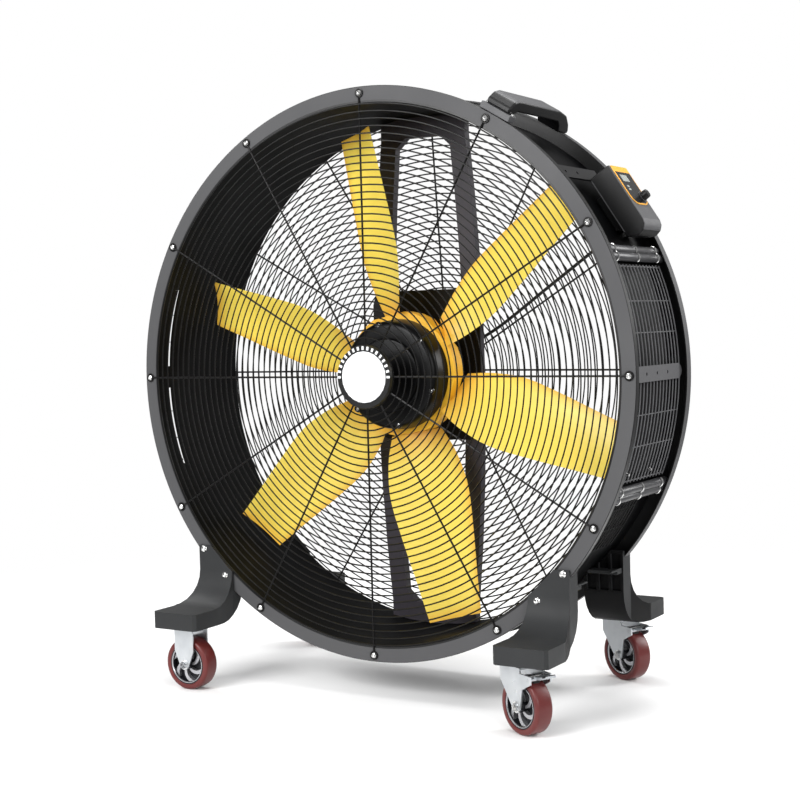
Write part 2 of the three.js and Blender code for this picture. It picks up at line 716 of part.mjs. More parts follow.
function motorFrame() {
  const half = FRAME_BAR_WIDTH / 2;
  const past = 60;
  const endHalf = frameBarCentre(FRAME_WINDOW_HALF_HEIGHT) + half;
  const tall = FRAME_WINDOW_HALF_HEIGHT + past;
  const outline = [
    [endHalf, tall],
    ...bowedEdge(half, FRAME_WINDOW_HALF_HEIGHT, 1),
    [endHalf, -tall],
    [-endHalf, -tall],
    ...bowedEdge(half, FRAME_WINDOW_HALF_HEIGHT, -1).reverse(),
    [-endHalf, tall],
  ];
  const windowEdge = (side) => bowedEdge(-half, FRAME_WINDOW_HALF_HEIGHT - FRAME_WINDOW_CORNER, side);
  const cornerX = frameBarCentre(FRAME_WINDOW_HALF_HEIGHT) - half - FRAME_WINDOW_CORNER;
  const window = [
    [cornerX, FRAME_WINDOW_HALF_HEIGHT],
    ...windowEdge(1),
    [cornerX, -FRAME_WINDOW_HALF_HEIGHT],
    [-cornerX, -FRAME_WINDOW_HALF_HEIGHT],
    ...windowEdge(-1).reverse(),
    [-cornerX, FRAME_WINDOW_HALF_HEIGHT],
  ];
  const backY = FRAME_Y + FRAME_DEPTH;
  const blank = extrudeY(shapeOf(outline, [window]), FRAME_Y, backY);
  const pocketHeight = FRAME_WINDOW_HALF_HEIGHT - FRAME_BAR_WIDTH / 2;
  const pockets = [1, -1].map((side) => extrudeY(
    shapeOf([
      ...bowedEdge(half - FRAME_SHEET, pocketHeight, side),
      ...bowedEdge(FRAME_SHEET - half, pocketHeight, side).reverse(),
    ]),
    FRAME_Y + FRAME_SHEET,
    backY + FRAME_SHEET,
  ));
  const limit = disc(LINER_INNER_R - SEAT_GAP, FRAME_Y - 1, backY + 1, DRUM_SIDES);
  return cut(keepInside(blank, limit), ...pockets);
}

piece(onAxis, 'motor_frame', motorFrame(), FRAME_GREY);

const motorPlateOutline = roundedRectangle(
  -MOTOR_PLATE_WIDTH / 2,
  MOTOR_PLATE_WIDTH / 2,
  MOTOR_PLATE_BOTTOM,
  MOTOR_PLATE_TOP,
  MOTOR_PLATE_CORNER,
  3,
);
const motorPlate = extrudeY(
  shapeOf(motorPlateOutline),
  MOTOR_PLATE_Y,
  MOTOR_PLATE_Y + MOTOR_PLATE_THICKNESS,
);
piece(onAxis, 'motor_plate', motorPlate, FRAME_GREY);

const boreR = SHAFT_R + SEAT_GAP;
const boreDepth = 40;
const motorBody = turn([
  [0, MOTOR_BACK_Y],
  [MOTOR_R, MOTOR_BACK_Y],
  [MOTOR_R, MOTOR_FRONT_Y + 14],
  [MOTOR_R - 14, MOTOR_FRONT_Y],
  [MOTOR_BOSS_R, MOTOR_FRONT_Y],
  [MOTOR_BOSS_R, MOTOR_FRONT_Y - MOTOR_BOSS_HEIGHT],
  [boreR, MOTOR_FRONT_Y - MOTOR_BOSS_HEIGHT],
  [boreR, MOTOR_FRONT_Y + boreDepth],
  [0, MOTOR_FRONT_Y + boreDepth],
], 24);
piece(onAxis, 'motor_body', motorBody, MOTOR_BLACK);

// The cap sits behind the plate, between the frame's two bars.
const capFront = MOTOR_PLATE_Y + MOTOR_PLATE_THICKNESS + SEAT_GAP;
const motorCapR = frameBarCentre(0) - FRAME_BAR_WIDTH / 2 - MOTOR_CAP_CLEAR;
const motorCap = turn([
  [0, capFront],
  [motorCapR, capFront],
  [motorCapR, capFront + MOTOR_CAP_DEPTH - 14],
  [motorCapR - 18, capFront + MOTOR_CAP_DEPTH],
  [0, capFront + MOTOR_CAP_DEPTH],
], 24);
piece(onAxis, 'motor_rear_cap', motorCap, MOTOR_BLACK);

// The cable leaves the cap, follows one rear spoke and ends in a gland on the drum wall.
function motorCable() {
  const start = motorCapR + SEAT_GAP;
  const end = LINER_APOTHEM - GLAND_HEIGHT - 2 * SEAT_GAP;
  const middle = (start + end) / 2;
  const guardInside = (r) => rearGuardY + REAR_GUARD_DISH * (1 - r / GUARD_OUTER_R) - CABLE_R - CABLE_CLEAR;
  const backY = FRAME_Y + FRAME_DEPTH;
  const route = [
    [start, backY + 18],
    [start + 12, backY + 18],
    [start + 90, guardInside(start + 90) - 4],
    [middle, guardInside(middle)],
    [end - 60, guardInside(end - 60)],
    [end - 10, backY],
    [end, backY],
  ];
  const curve = new THREE.CatmullRomCurve3(route.map(([r, y]) => new THREE.Vector3(r, y, 0)));
  const section = shapeOf(circle(CABLE_R, CABLE_SIDES));
  return new THREE.ExtrudeGeometry(section, { steps: CABLE_STEPS, extrudePath: curve, bevelEnabled: false });
}

const cableFrame = frameAtAngle(CABLE_ANGLE_DEG);
piece(cableFrame, 'motor_cable', motorCable(), PLASTIC_BLACK);
const gland = new THREE.CylinderGeometry(GLAND_R, GLAND_R, GLAND_HEIGHT, 6)
  .rotateZ(Math.PI / 2)
  .translate(LINER_APOTHEM - SEAT_GAP - GLAND_HEIGHT / 2, FRAME_Y + FRAME_DEPTH, 0);
piece(cableFrame, 'cable_gland', gland, PLASTIC_BLACK);

// ---------------------------------------------------------------- rotor

const shaft = disc(SHAFT_R, HUB_FRONT_Y, MOTOR_FRONT_Y + boreDepth - SEAT_GAP, 24);
piece(onAxis, 'rotor_shaft', shaft, SHAFT_STEEL);

// A disc with a flat seat for each blade root.
const hubOutline = [];
for (let i = 0; i < BLADES; i += 1) {
  const at = BLADE_PHASE_DEG + (360 / BLADES) * i;
  hubOutline.push(polar(HUB_SEAT_R, at, -HUB_SEAT_HALF));
  hubOutline.push(polar(HUB_SEAT_R, at, HUB_SEAT_HALF));
  hubOutline.push(polar(Math.hypot(HUB_SEAT_R, HUB_SEAT_HALF), at + 180 / BLADES));
}
const hubSpider = extrudeY(shapeOf(hubOutline, [circle(boreR, 24)]), HUB_FRONT_Y, HUB_BACK_Y);
piece(onAxis, 'hub_spider', hubSpider, BLADE_YELLOW);

const hubCoverBack = HUB_FRONT_Y - SEAT_GAP;
const hubCoverFace = hubCoverBack - HUB_COVER_HEIGHT;
const hubCoverEdge = HUB_COVER_FRONT_R - HUB_COVER_FACE_R;
const hubCover = turn([
  [0, hubCoverBack],
  [HUB_COVER_R, hubCoverBack],
  [HUB_COVER_FRONT_R, hubCoverFace + hubCoverEdge],
  [HUB_COVER_FRONT_R - hubCoverEdge / 3, hubCoverFace + hubCoverEdge / 3],
  [HUB_COVER_FACE_R, hubCoverFace],
  [HUB_BOSS_R, hubCoverFace],
  [HUB_BOSS_R - HUB_BOSS_HEIGHT / 2, hubCoverFace - HUB_BOSS_HEIGHT],
  [0, hubCoverFace - HUB_BOSS_HEIGHT],
], 30);
piece(onAxis, 'hub_cover', hubCover, PLASTIC_BLACK);

// A twisted, cambered blade lofted along X, its chord across Z and its depth along Y.
function bladeGeometry() {
  const rootR = HUB_SEAT_R + SEAT_GAP;
  const chordSteps = 5;
  const rings = BLADE_STATIONS.map(({ share, width, pitch }) => {
    const radius = rootR + share * (BLADE_TIP_R - rootR);
    const tilt = THREE.MathUtils.degToRad(pitch);
    const chord = width / Math.cos(tilt);
    const along = (s, lift) => new THREE.Vector3(
      radius,
      ROTOR_CENTRE_Y + s * chord * Math.sin(tilt) + lift * Math.cos(tilt),
      s * chord * Math.cos(tilt) - lift * Math.sin(tilt),
    );
    const bulge = (s) => BLADE_CAMBER * (1 - 4 * s * s);
    const ring = [];
    for (let i = 0; i <= chordSteps; i += 1) {
      const s = i / chordSteps - 0.5;
      ring.push(along(s, bulge(s) + BLADE_THICKNESS / 2));
    }
    for (let i = chordSteps; i >= 0; i -= 1) {
      const s = i / chordSteps - 0.5;
      ring.push(along(s, bulge(s) - BLADE_THICKNESS / 2));
    }
    return ring;
  });
  const around = rings[0].length;
  const indices = [];
  for (let k = 0; k < rings.length - 1; k += 1) {
    for (let i = 0; i < around; i += 1) {
      const next = (i + 1) % around;
      const a = k * around;
      const b = (k + 1) * around;
      indices.push(a + i, a + next, b + i, a + next, b + next, b + i);
    }
  }
  const last = (rings.length - 1) * around;
  for (let i = 0; i < chordSteps; i += 1) {
    const far = around - 1 - i;
    indices.push(i, far, i + 1, i + 1, far, far - 1);
    indices.push(last + i, last + i + 1, last + far, last + i + 1, last + far - 1, last + far);
  }
  const geometry = new THREE.BufferGeometry();
  const positions = rings.flat().flatMap((point) => point.toArray());
  geometry.setAttribute('position', new THREE.BufferAttribute(new Float32Array(positions), 3));
  geometry.setIndex(indices);
  return geometry;
}

for (let i = 0; i < BLADES; i += 1) {
  const frame = frameAtAngle(BLADE_PHASE_DEG + (360 / BLADES) * i);
  piece(frame, `blade_${i + 1}`, bladeGeometry(), BLADE_YELLOW);
}

// ---------------------------------------------------------------- handle

const handleFrame = frameAtAngle(HANDLE_ANGLE_DEG);
const flangeSeatR = FLANGE_OUTER_R + SEAT_GAP;
const handleSeatR = flangeSeatR + HANDLE_BASE_HEIGHT + SEAT_GAP;
const handleBase = box(
  flangeSeatR,
  flangeSeatR + HANDLE_BASE_HEIGHT,
  FRONT_Y,
  FRONT_Y + HANDLE_BASE_DEPTH,
  -HANDLE_BASE_WIDTH / 2,
  HANDLE_BASE_WIDTH / 2,
);
piece(handleFrame, 'handle_base', handleBase, PLASTIC_GREY);

function handleGrip() {
  const front = FRONT_Y + 2;
  const rear = REAR_Y - 4;
  const legInner = rear - HANDLE_REAR_LEG;
  const outline = [
    [front, handleSeatR],
    [front, handleSeatR + HANDLE_THICKNESS / 2],
    [front + 0.5 * HANDLE_THICKNESS, HANDLE_TOP_R - 0.2 * HANDLE_THICKNESS],
    [front + 1.2 * HANDLE_THICKNESS, HANDLE_TOP_R],
    [rear - 3.2 * HANDLE_THICKNESS, HANDLE_TOP_R],
    [rear - 1.6 * HANDLE_THICKNESS, HANDLE_TOP_R - 0.3 * HANDLE_THICKNESS],
    [rear - 0.5 * HANDLE_THICKNESS, HANDLE_UNDER_R],
    [rear, flangeSeatR + 0.4 * HANDLE_RISE],
    [rear, flangeSeatR],
    [legInner, flangeSeatR],
    [legInner - 0.4 * HANDLE_RISE, HANDLE_UNDER_R - 0.4 * HANDLE_RISE],
    [legInner - HANDLE_RISE, HANDLE_UNDER_R],
    [front + HANDLE_BASE_DEPTH + HANDLE_RISE / 2, HANDLE_UNDER_R],
    [front + HANDLE_BASE_DEPTH, handleSeatR],
  ];
  return extrudeAcross(shapeOf(outline), HANDLE_WIDTH);
}

piece(handleFrame, 'handle_grip', handleGrip(), PLASTIC_BLACK);

// ---------------------------------------------------------------- control box

const boxFrame = frameAtAngle(BOX_ANGLE_DEG);

// The housing stands on a seat that is hollowed to the drum's outside.
function controlBox() {
  const half = BOX_LENGTH / 2;
  const outline = [
    [BOX_INNER_R, half],
    [BOX_INNER_R, -half + BOX_CORNER / 2],
    [BOX_INNER_R + BOX_CORNER, -half],
  ];
  for (let i = 0; i <= 3; i += 1) {
    const [dx, dz] = polar(BOX_CORNER, -90 + 30 * i);
    outline.push([BOX_OUTER_R - BOX_CORNER + dx, -half + BOX_CORNER + dz]);
  }
  outline.push([BOX_OUTER_R, half]);
  const housing = extrudeY(shapeOf(outline), BOX_FRONT_Y, BOX_FRONT_Y + BOX_DEPTH);
  const seat = box(
    LINER_INNER_R - BOX_SEAT_INSET,
    BOX_INNER_R + BOX_SEAT_INSET,
    BOX_FRONT_Y + BOX_SEAT_INSET,
    BOX_FRONT_Y + BOX_DEPTH - BOX_SEAT_INSET,
    -BOX_SEAT_LENGTH / 2,
    BOX_SEAT_LENGTH / 2,
  );
  const drum = roundRoom(LINER_OUTER_R, BOX_FRONT_Y, BOX_FRONT_Y + BOX_DEPTH);
  drum.rotateY(THREE.MathUtils.degToRad(BOX_ANGLE_DEG));
  return cut(join(housing, seat), drum);
}

piece(boxFrame, 'control_box', controlBox(), PLASTIC_BLACK);

// The panel is a thin plate with two rounded lower corners.
const panelMiddleY = BOX_FRONT_Y + BOX_DEPTH / 2;
const panelTop = BOX_LENGTH / 2 - 2;
const panelOutline = roundedRectangle(
  panelMiddleY - PANEL_WIDTH / 2,
  panelMiddleY + PANEL_WIDTH / 2,
  panelTop - PANEL_LENGTH,
  panelTop,
  PANEL_CORNER,
  3,
);
const panelFrom = BOX_OUTER_R + SEAT_GAP;
const panel = extrudeX(shapeOf(panelOutline), panelFrom, panelFrom + PANEL_THICKNESS);
piece(boxFrame, 'control_panel', panel, PANEL_YELLOW);

const knobHub = new THREE.Group();
knobHub.position.set(0, KNOB_Y, KNOB_FROM_BOX_MIDDLE);
boxFrame.add(knobHub);
const knobBody = new THREE.CylinderGeometry(KNOB_R - 1, KNOB_R, KNOB_HEIGHT, 20)
  .rotateZ(-Math.PI / 2)
  .translate(KNOB_R_BASE + KNOB_HEIGHT / 2, 0, 0);
piece(knobHub, 'speed_knob', knobBody, PLASTIC_BLACK);

// A strap from the front flange to a tab on the upper end of the box.
function boxStrap() {
  const near = BOX_LENGTH / 2 + SEAT_GAP;
  const front = FRONT_Y + FLANGE_SHEET + SEAT_GAP;
  const back = BOX_FRONT_Y + BOX_SEAT_INSET + STRAP_TAB_LENGTH;
  const plate = box(STRAP_R, STRAP_R + STRAP_THICKNESS, front, back, near, near + STRAP_WIDTH);
  const tab = box(
    STRAP_R,
    BOX_INNER_R + STRAP_TAB_HEIGHT,
    back - STRAP_TAB_LENGTH,
    back,
    near,
    near + STRAP_THICKNESS,
  );
  const holes = STRAP_HOLES_FROM_FRONT.map((at) => new THREE.CylinderGeometry(
    STRAP_HOLE_R,
    STRAP_HOLE_R,
    3 * STRAP_THICKNESS,
    10,
  ).rotateZ(Math.PI / 2).translate(STRAP_R + STRAP_THICKNESS / 2, FRONT_Y + at, near + STRAP_WIDTH / 2));
  return cut(join(plate, tab), ...holes);
}

piece(boxFrame, 'box_strap', boxStrap(), PAD_GREY);

// ---------------------------------------------------------------- feet

// Side view of a foot in Y and Z: a wall round the flange that bends forwards into a thick pad.
function footOutline() {
  const wallFront = FOOT_FACE_Y;
  const wallBack = FOOT_FACE_Y + FOOT_WALL;
  const padEnd = FOOT_FACE_Y - FOOT_REACH;
  const padTop = FOOT_BASE_HEIGHT + FOOT_PAD_THICKNESS;
  const outer = FOOT_OUTER_BEND;
  const inner = FOOT_INNER_BEND;
  const points = [[wallFront, FOOT_TOP]];
  for (let i = 0; i <= FOOT_BEND_STEPS; i += 1) {
    const [dy, dz] = polar(inner, (-90 * i) / FOOT_BEND_STEPS);
    points.push([wallFront - inner + dy, padTop + inner + dz]);
  }
  points.push([padEnd, padTop], [padEnd, FOOT_BASE_HEIGHT]);
  for (let i = FOOT_BEND_STEPS; i >= 0; i -= 1) {
    const [dy, dz] = polar(outer, (-90 * i) / FOOT_BEND_STEPS);
    points.push([wallBack - outer + dy, FOOT_BASE_HEIGHT + outer + dz]);
  }
  points.push([wallBack, FOOT_TOP]);
  return points;
}

// Ribbed recesses in the side of the wall that faces the middle of the drum.
function footPockets(fromX, width) {
  const step = (width - FOOT_RIB) / FOOT_POCKETS;
  const back = FOOT_FACE_Y + FOOT_WALL;
  const bottom = FOOT_BASE_HEIGHT + FOOT_OUTER_BEND - AXIS_HEIGHT;
  const top = FOOT_TOP - FOOT_RIB - AXIS_HEIGHT;
  const pockets = [];
  for (let i = 0; i < FOOT_POCKETS; i += 1) {
    const left = fromX + FOOT_RIB + i * step;
    pockets.push(box(left, left + step - FOOT_RIB, back - FOOT_POCKET_DEPTH, back + 1, bottom, top));
  }
  return pockets;
}

// Seen from above, the foot narrows from its pad to its wall.
function footPlan(side) {
  const noseY = FOOT_FACE_Y - FOOT_REACH;
  const taperEnd = FOOT_FACE_Y;
  const taperStart = taperEnd - FOOT_TAPER_LENGTH;
  const backY = FOOT_FACE_Y + FOOT_WALL + 1;
  const inner = FOOT_CENTRE_X - FOOT_WIDTH / 2;
  const outer = FOOT_CENTRE_X + FOOT_WIDTH / 2;
  const outline = [
    [inner + FOOT_NOSE_CORNER, noseY],
    [outer - FOOT_NOSE_CORNER, noseY],
    [outer, noseY + FOOT_NOSE_CORNER],
    [outer, taperStart],
    [outer - FOOT_OUTER_TAPER, taperEnd],
    [outer - FOOT_OUTER_TAPER, backY],
    [inner + FOOT_INNER_TAPER, backY],
    [inner + FOOT_INNER_TAPER, taperEnd],
    [inner, taperStart],
    [inner, noseY + FOOT_NOSE_CORNER],
  ];
  return shapeOf(outline.map(([x, y]) => [side * x, y]));
}

// Every foot is made as a front foot; the rear ones are then mirrored across the drum's middle.
function foot(side, end) {
  const middleX = side * (FOOT_CENTRE_X + (FOOT_INNER_TAPER - FOOT_OUTER_TAPER) / 2);
  const wallWidth = FOOT_WIDTH - FOOT_INNER_TAPER - FOOT_OUTER_TAPER;
  const profile = extrudeX(
    shapeOf(footOutline().map(([y, z]) => [y, z - AXIS_HEIGHT])),
    side * FOOT_CENTRE_X - FOOT_WIDTH,
    side * FOOT_CENTRE_X + FOOT_WIDTH,
  );
  const plan = extrudeZ(footPlan(side), FOOT_BASE_HEIGHT - AXIS_HEIGHT - 1, FOOT_TOP - AXIS_HEIGHT + 1);
  const blank = keepInside(profile, plan);
  const lip = end < 0 ? FRONT_LIP : REAR_LIP;
  const body = cut(
    blank,
    roundRoom(GUARD_OUTER_R + GUARD_WIRE / 2, FOOT_FACE_Y - 1, FRONT_Y),
    roundRoom(FLANGE_OUTER_R, FRONT_Y - SEAT_GAP, FRONT_Y + lip + SEAT_GAP),
    roundRoom(LINER_OUTER_R, FRONT_Y, FOOT_FACE_Y + FOOT_WALL + 1),
    ...footPockets(middleX - wallWidth / 2, wallWidth),
  );
  return end < 0 ? body : body.scale(1, -1, 1);
}

// ---------------------------------------------------------------- castors

const axleHeight = WHEEL_R * Math.cos(Math.PI / WHEEL_SIDES);

function tyre() {
  const half = WHEEL_WIDTH / 2;
  const inner = CORE_R + SEAT_GAP;
  return turnedRing([
    [inner, -half],
    [WHEEL_R - 4, -half],
    [WHEEL_R, -half + 5],
    [WHEEL_R, half - 5],
    [WHEEL_R - 4, half],
    [inner, half],
  ], WHEEL_SIDES).rotateY(Math.PI / WHEEL_SIDES);
}

function wheelCore() {
  const half = WHEEL_WIDTH / 2;
  const hub = WHEEL_HUB_LENGTH / 2;
  const bore = AXLE_R + SEAT_GAP;
  const web = 5;
  const rim = CORE_R - 7;
  const halfProfile = (s) => [
    [bore, s * hub],
    [WHEEL_HUB_R, s * hub],
    [WHEEL_HUB_R, s * web],
    [rim, s * web],
    [rim, s * (half - 1)],
    [CORE_R, s * (half - 1)],
  ];
  return turnedRing([...halfProfile(-1), ...halfProfile(1).reverse()], WHEEL_SIDES)
    .rotateY(Math.PI / WHEEL_SIDES);
}

function axle() {
  const fork = FORK_INNER_WIDTH / 2 + FORK_SHEET + SEAT_GAP;
  return turn([
    [0, -fork - AXLE_HEAD_HEIGHT],
    [AXLE_HEAD_R, -fork - AXLE_HEAD_HEIGHT],
    [AXLE_HEAD_R, -fork],
    [AXLE_R, -fork],
    [AXLE_R, fork],
    [AXLE_HEAD_R, fork],
    [AXLE_HEAD_R, fork + AXLE_HEAD_HEIGHT],
    [0, fork + AXLE_HEAD_HEIGHT],
  ], 12);
}

// Sheet fork straddling the wheel, drawn round the wheel's middle in X and Z.
function fork(topZ, crownFromX, crownToX, shoulder, pedalEars) {
  const crownBottom = topZ - FORK_CROWN_HEIGHT;
  const outline = [
    [crownFromX, topZ],
    [crownFromX, shoulder],
    ...arc(FORK_EYE_R, 200, 340, 5),
  ];
  if (pedalEars) {
    outline.push([20, PEDAL_PIVOT_Z - axleHeight - 24]);
    outline.push([PEDAL_PIVOT_X + 10, PEDAL_PIVOT_Z - axleHeight - 9]);
    outline.push([PEDAL_PIVOT_X + 10, PEDAL_PIVOT_Z - axleHeight + 8]);
    outline.push([crownToX, crownBottom]);
  } else {
    outline.push([crownToX, shoulder]);
  }
  outline.push([crownToX, topZ]);
  const outer = FORK_INNER_WIDTH / 2 + FORK_SHEET;
  const inner = FORK_INNER_WIDTH / 2;
  const blank = extrudeY(shapeOf(outline), -outer, outer);
  const room = box(-120, 120, -inner, inner, -60, topZ - FORK_SHEET);
  const axleHole = disc(AXLE_R + SEAT_GAP, -outer - 1, outer + 1, 12);
  return cut(blank, room, axleHole);
}

function swivelFork() {
  const topZ = FORK_TOP - SWIVEL_PLATE_THICKNESS - SEAT_GAP - axleHeight;
  const body = fork(topZ, -SWIVEL_TRAIL - FORK_HALF, FORK_EYE_R, SWIVEL_SHOULDER, true);
  const pedalHole = disc(PEDAL_PIN_R + SEAT_GAP, -40, 40, 12)
    .translate(PEDAL_PIVOT_X, 0, PEDAL_PIVOT_Z - axleHeight);
  const kingpinHole = disc(KINGPIN_R + SEAT_GAP, -20, 20, 16)
    .rotateX(Math.PI / 2)
    .translate(-SWIVEL_TRAIL, 0, topZ);
  return cut(body, pedalHole, kingpinHole);
}

function fixedFork() {
  return fork(FORK_TOP - axleHeight, -FORK_HALF, FORK_HALF, FIXED_SHOULDER, false);
}

function swivelPlate() {
  const half = SWIVEL_PLATE_SIZE / 2;
  const bottom = FORK_TOP - SWIVEL_PLATE_THICKNESS;
  const plate = new THREE.ExtrudeGeometry(
    shapeOf(roundedRectangle(-half, half, -half, half, 10, 2)),
    { depth: SWIVEL_PLATE_THICKNESS, bevelEnabled: false },
  ).translate(0, 0, bottom);
  const kingpin = disc(KINGPIN_R, -SEAT_GAP - 5, 1, 16)
    .rotateX(Math.PI / 2)
    .translate(0, 0, bottom);
  return join(plate, kingpin);
}

// Foot lever of the brake, drawn round its own pivot.
function brakePedal() {
  const barrelHalf = FORK_INNER_WIDTH / 2 - SEAT_GAP;
  const pinHalf = FORK_INNER_WIDTH / 2 + FORK_SHEET;
  const barrel = turn([
    [0, -pinHalf],
    [PEDAL_PIN_R, -pinHalf],
    [PEDAL_PIN_R, -barrelHalf],
    [PEDAL_BARREL_R, -barrelHalf],
    [PEDAL_BARREL_R, barrelHalf],
    [PEDAL_PIN_R, barrelHalf],
    [PEDAL_PIN_R, pinHalf],
    [0, pinHalf],
  ], 12);
  const thick = PEDAL_THICKNESS;
  const lever = extrudeY(
    shapeOf([
      [0, 0],
      [0, thick],
      [PEDAL_LENGTH * 0.5, thick + 3],
      [PEDAL_LENGTH - 2, thick + 8],
      [PEDAL_LENGTH, thick + 4],
      [PEDAL_LENGTH * 0.5, 1],
    ]),
    -PEDAL_WIDTH / 2,
    PEDAL_WIDTH / 2,
  );
  return join(barrel, lever);
}

const CASTORS = [
  { tag: 'front_left', side: -1, end: -1, swivels: false },
  { tag: 'front_right', side: 1, end: -1, swivels: true },
  { tag: 'rear_left', side: -1, end: 1, swivels: false },
  { tag: 'rear_right', side: 1, end: 1, swivels: true },
];

for (const { tag, side, end, swivels } of CASTORS) {
  piece(onAxis, `foot_${tag}`, foot(side, end), FOOT_GREY);
  const castorFrame = new THREE.Group();
  const trail = swivels ? SWIVEL_TRAIL : 0;
  castorFrame.position.set(side * CASTOR_X - trail, end * CASTOR_Y, 0);
  castorFrame.rotation.z = swivels ? THREE.MathUtils.degToRad(SWIVEL_YAW_DEG) : 0;
  fan.add(castorFrame);
  const wheelFrame = new THREE.Group();
  wheelFrame.position.set(trail, 0, axleHeight);
  castorFrame.add(wheelFrame);
  piece(wheelFrame, `tyre_${tag}`, tyre(), TYRE_MAROON);
  piece(wheelFrame, `wheel_core_${tag}`, wheelCore(), CORE_BLACK);
  piece(wheelFrame, `axle_${tag}`, axle(), ZINC);
  piece(wheelFrame, `fork_${tag}`, swivels ? swivelFork() : fixedFork(), ZINC);
  if (swivels) {
    const plateFrame = new THREE.Group();
    plateFrame.position.set(side * CASTOR_X - SWIVEL_TRAIL, end * CASTOR_Y, 0);
    fan.add(plateFrame);
    piece(plateFrame, `swivel_plate_${tag}`, swivelPlate(), ZINC);
    const pedalFrame = new THREE.Group();
    pedalFrame.position.set(PEDAL_PIVOT_X, 0, PEDAL_PIVOT_Z - axleHeight);
    wheelFrame.add(pedalFrame);
    piece(pedalFrame, `brake_pedal_${tag}`, brakePedal(), ZINC);
  }
}

export default fan;
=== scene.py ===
# Looks of the drum fan: camera, light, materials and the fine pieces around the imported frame.
# Sizes are in millimetres in the row frame, and become metres where a mesh is made.
import json
import math

import bmesh
import bpy
from mathutils import Matrix, Vector

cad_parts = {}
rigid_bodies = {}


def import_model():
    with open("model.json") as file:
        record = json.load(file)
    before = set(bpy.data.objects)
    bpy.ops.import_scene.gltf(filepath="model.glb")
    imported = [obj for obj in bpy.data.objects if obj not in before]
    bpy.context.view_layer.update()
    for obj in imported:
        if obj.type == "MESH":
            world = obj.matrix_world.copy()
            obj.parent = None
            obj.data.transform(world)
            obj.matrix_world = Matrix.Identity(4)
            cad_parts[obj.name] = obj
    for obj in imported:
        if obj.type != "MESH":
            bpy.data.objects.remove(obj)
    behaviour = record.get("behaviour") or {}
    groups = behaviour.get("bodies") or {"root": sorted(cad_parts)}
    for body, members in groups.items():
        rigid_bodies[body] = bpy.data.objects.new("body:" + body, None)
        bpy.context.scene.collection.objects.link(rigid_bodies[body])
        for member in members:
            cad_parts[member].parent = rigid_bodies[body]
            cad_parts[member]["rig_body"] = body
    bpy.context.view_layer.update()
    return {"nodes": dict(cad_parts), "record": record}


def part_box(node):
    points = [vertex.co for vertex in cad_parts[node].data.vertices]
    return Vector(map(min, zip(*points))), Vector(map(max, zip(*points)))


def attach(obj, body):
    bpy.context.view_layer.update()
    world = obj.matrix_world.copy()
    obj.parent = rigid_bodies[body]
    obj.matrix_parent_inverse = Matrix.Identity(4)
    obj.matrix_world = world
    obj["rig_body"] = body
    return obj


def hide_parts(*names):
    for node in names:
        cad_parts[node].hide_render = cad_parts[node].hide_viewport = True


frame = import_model()

MM = 0.001
AXIS_Z = 745.0  # height of the fan axis
FRONT_Y = -160.0
REAR_Y = 160.0
LINER_INNER_R = 622.0
LINER_OUTER_R = 626.0
FLANGE_OUTER_R = 660.5
SCREW_R = 645.0  # circle of the guard's screws
RING_SEGMENTS = 240
CASTOR_X = 454.0
CASTOR_Y = 268.0
AXLE_Z = 61.965
SWIVEL_TRAIL = 25.0
SWIVEL_YAW = math.radians(-25)
WELD = 1e-5  # metres
FLAT_DEG = 1.0  # faces closer than this in angle are joined before the edges are softened

# ------------------------------------------------------------------ small helpers


def srgb(red, green, blue):
    """A colour given in screen values of 0 to 255, as linear light."""
    out = []
    for value in (red, green, blue):
        share = value / 255
        out.append(share / 12.92 if share <= 0.04045 else ((share + 0.055) / 1.055) ** 2.4)
    return (*out, 1.0)


def around(radius, degrees, y, side=0.0):
    """A point at an angle round the fan axis, with a step sideways along the turn."""
    angle = math.radians(degrees)
    x = radius * math.cos(angle) - side * math.sin(angle)
    z = radius * math.sin(angle) + side * math.cos(angle)
    return (x, y, AXIS_Z + z)


def make(name, parts, material, body, sharp=35.0):
    """One object from (points, faces) parts. It rides on a body and takes a material."""
    points, faces = [], []
    for part_points, part_faces in parts:
        start = len(points)
        points.extend(tuple(c * MM for c in p) for p in part_points)
        faces.extend(tuple(i + start for i in face) for face in part_faces)
    mesh = bpy.data.meshes.new(name)
    mesh.from_pydata(points, [], faces)
    mesh.validate()
    mesh.shade_smooth()
    mesh.set_sharp_from_angle(angle=math.radians(sharp))
    obj = bpy.data.objects.new(name, mesh)
    bpy.context.scene.collection.objects.link(obj)
    mesh.materials.append(material)
    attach(obj, body)
    return obj


def tube(path, radius, sides=6, closed=False):
    """A round wire along points."""
    count = len(path)
    points = [Vector(p) for p in path]
    rings, faces = [], []
    side = None
    for i, point in enumerate(points):
        before = points[i - 1] if closed or i > 0 else point
        after = points[(i + 1) % count] if closed or i < count - 1 else point
        along = (after - before).normalized()
        if side is None:
            helper = Vector((0, 1, 0)) if abs(along.y) < 0.9 else Vector((1, 0, 0))
            side = along.cross(helper).normalized()
        side = (side - along * side.dot(along)).normalized()
        up = along.cross(side)
        for k in range(sides):
            turn = 2 * math.pi * k / sides
            rings.append(tuple(point + radius * (side * math.cos(turn) + up * math.sin(turn))))
    for i in range(count if closed else count - 1):
        here, there = i * sides, ((i + 1) % count) * sides
        for k in range(sides):
            n = (k + 1) % sides
            faces.append((here + k, there + k, there + n, here + n))
    if not closed:
        faces.append(tuple(range(sides)))
        faces.append(tuple(reversed(range((count - 1) * sides, count * sides))))
    return rings, faces


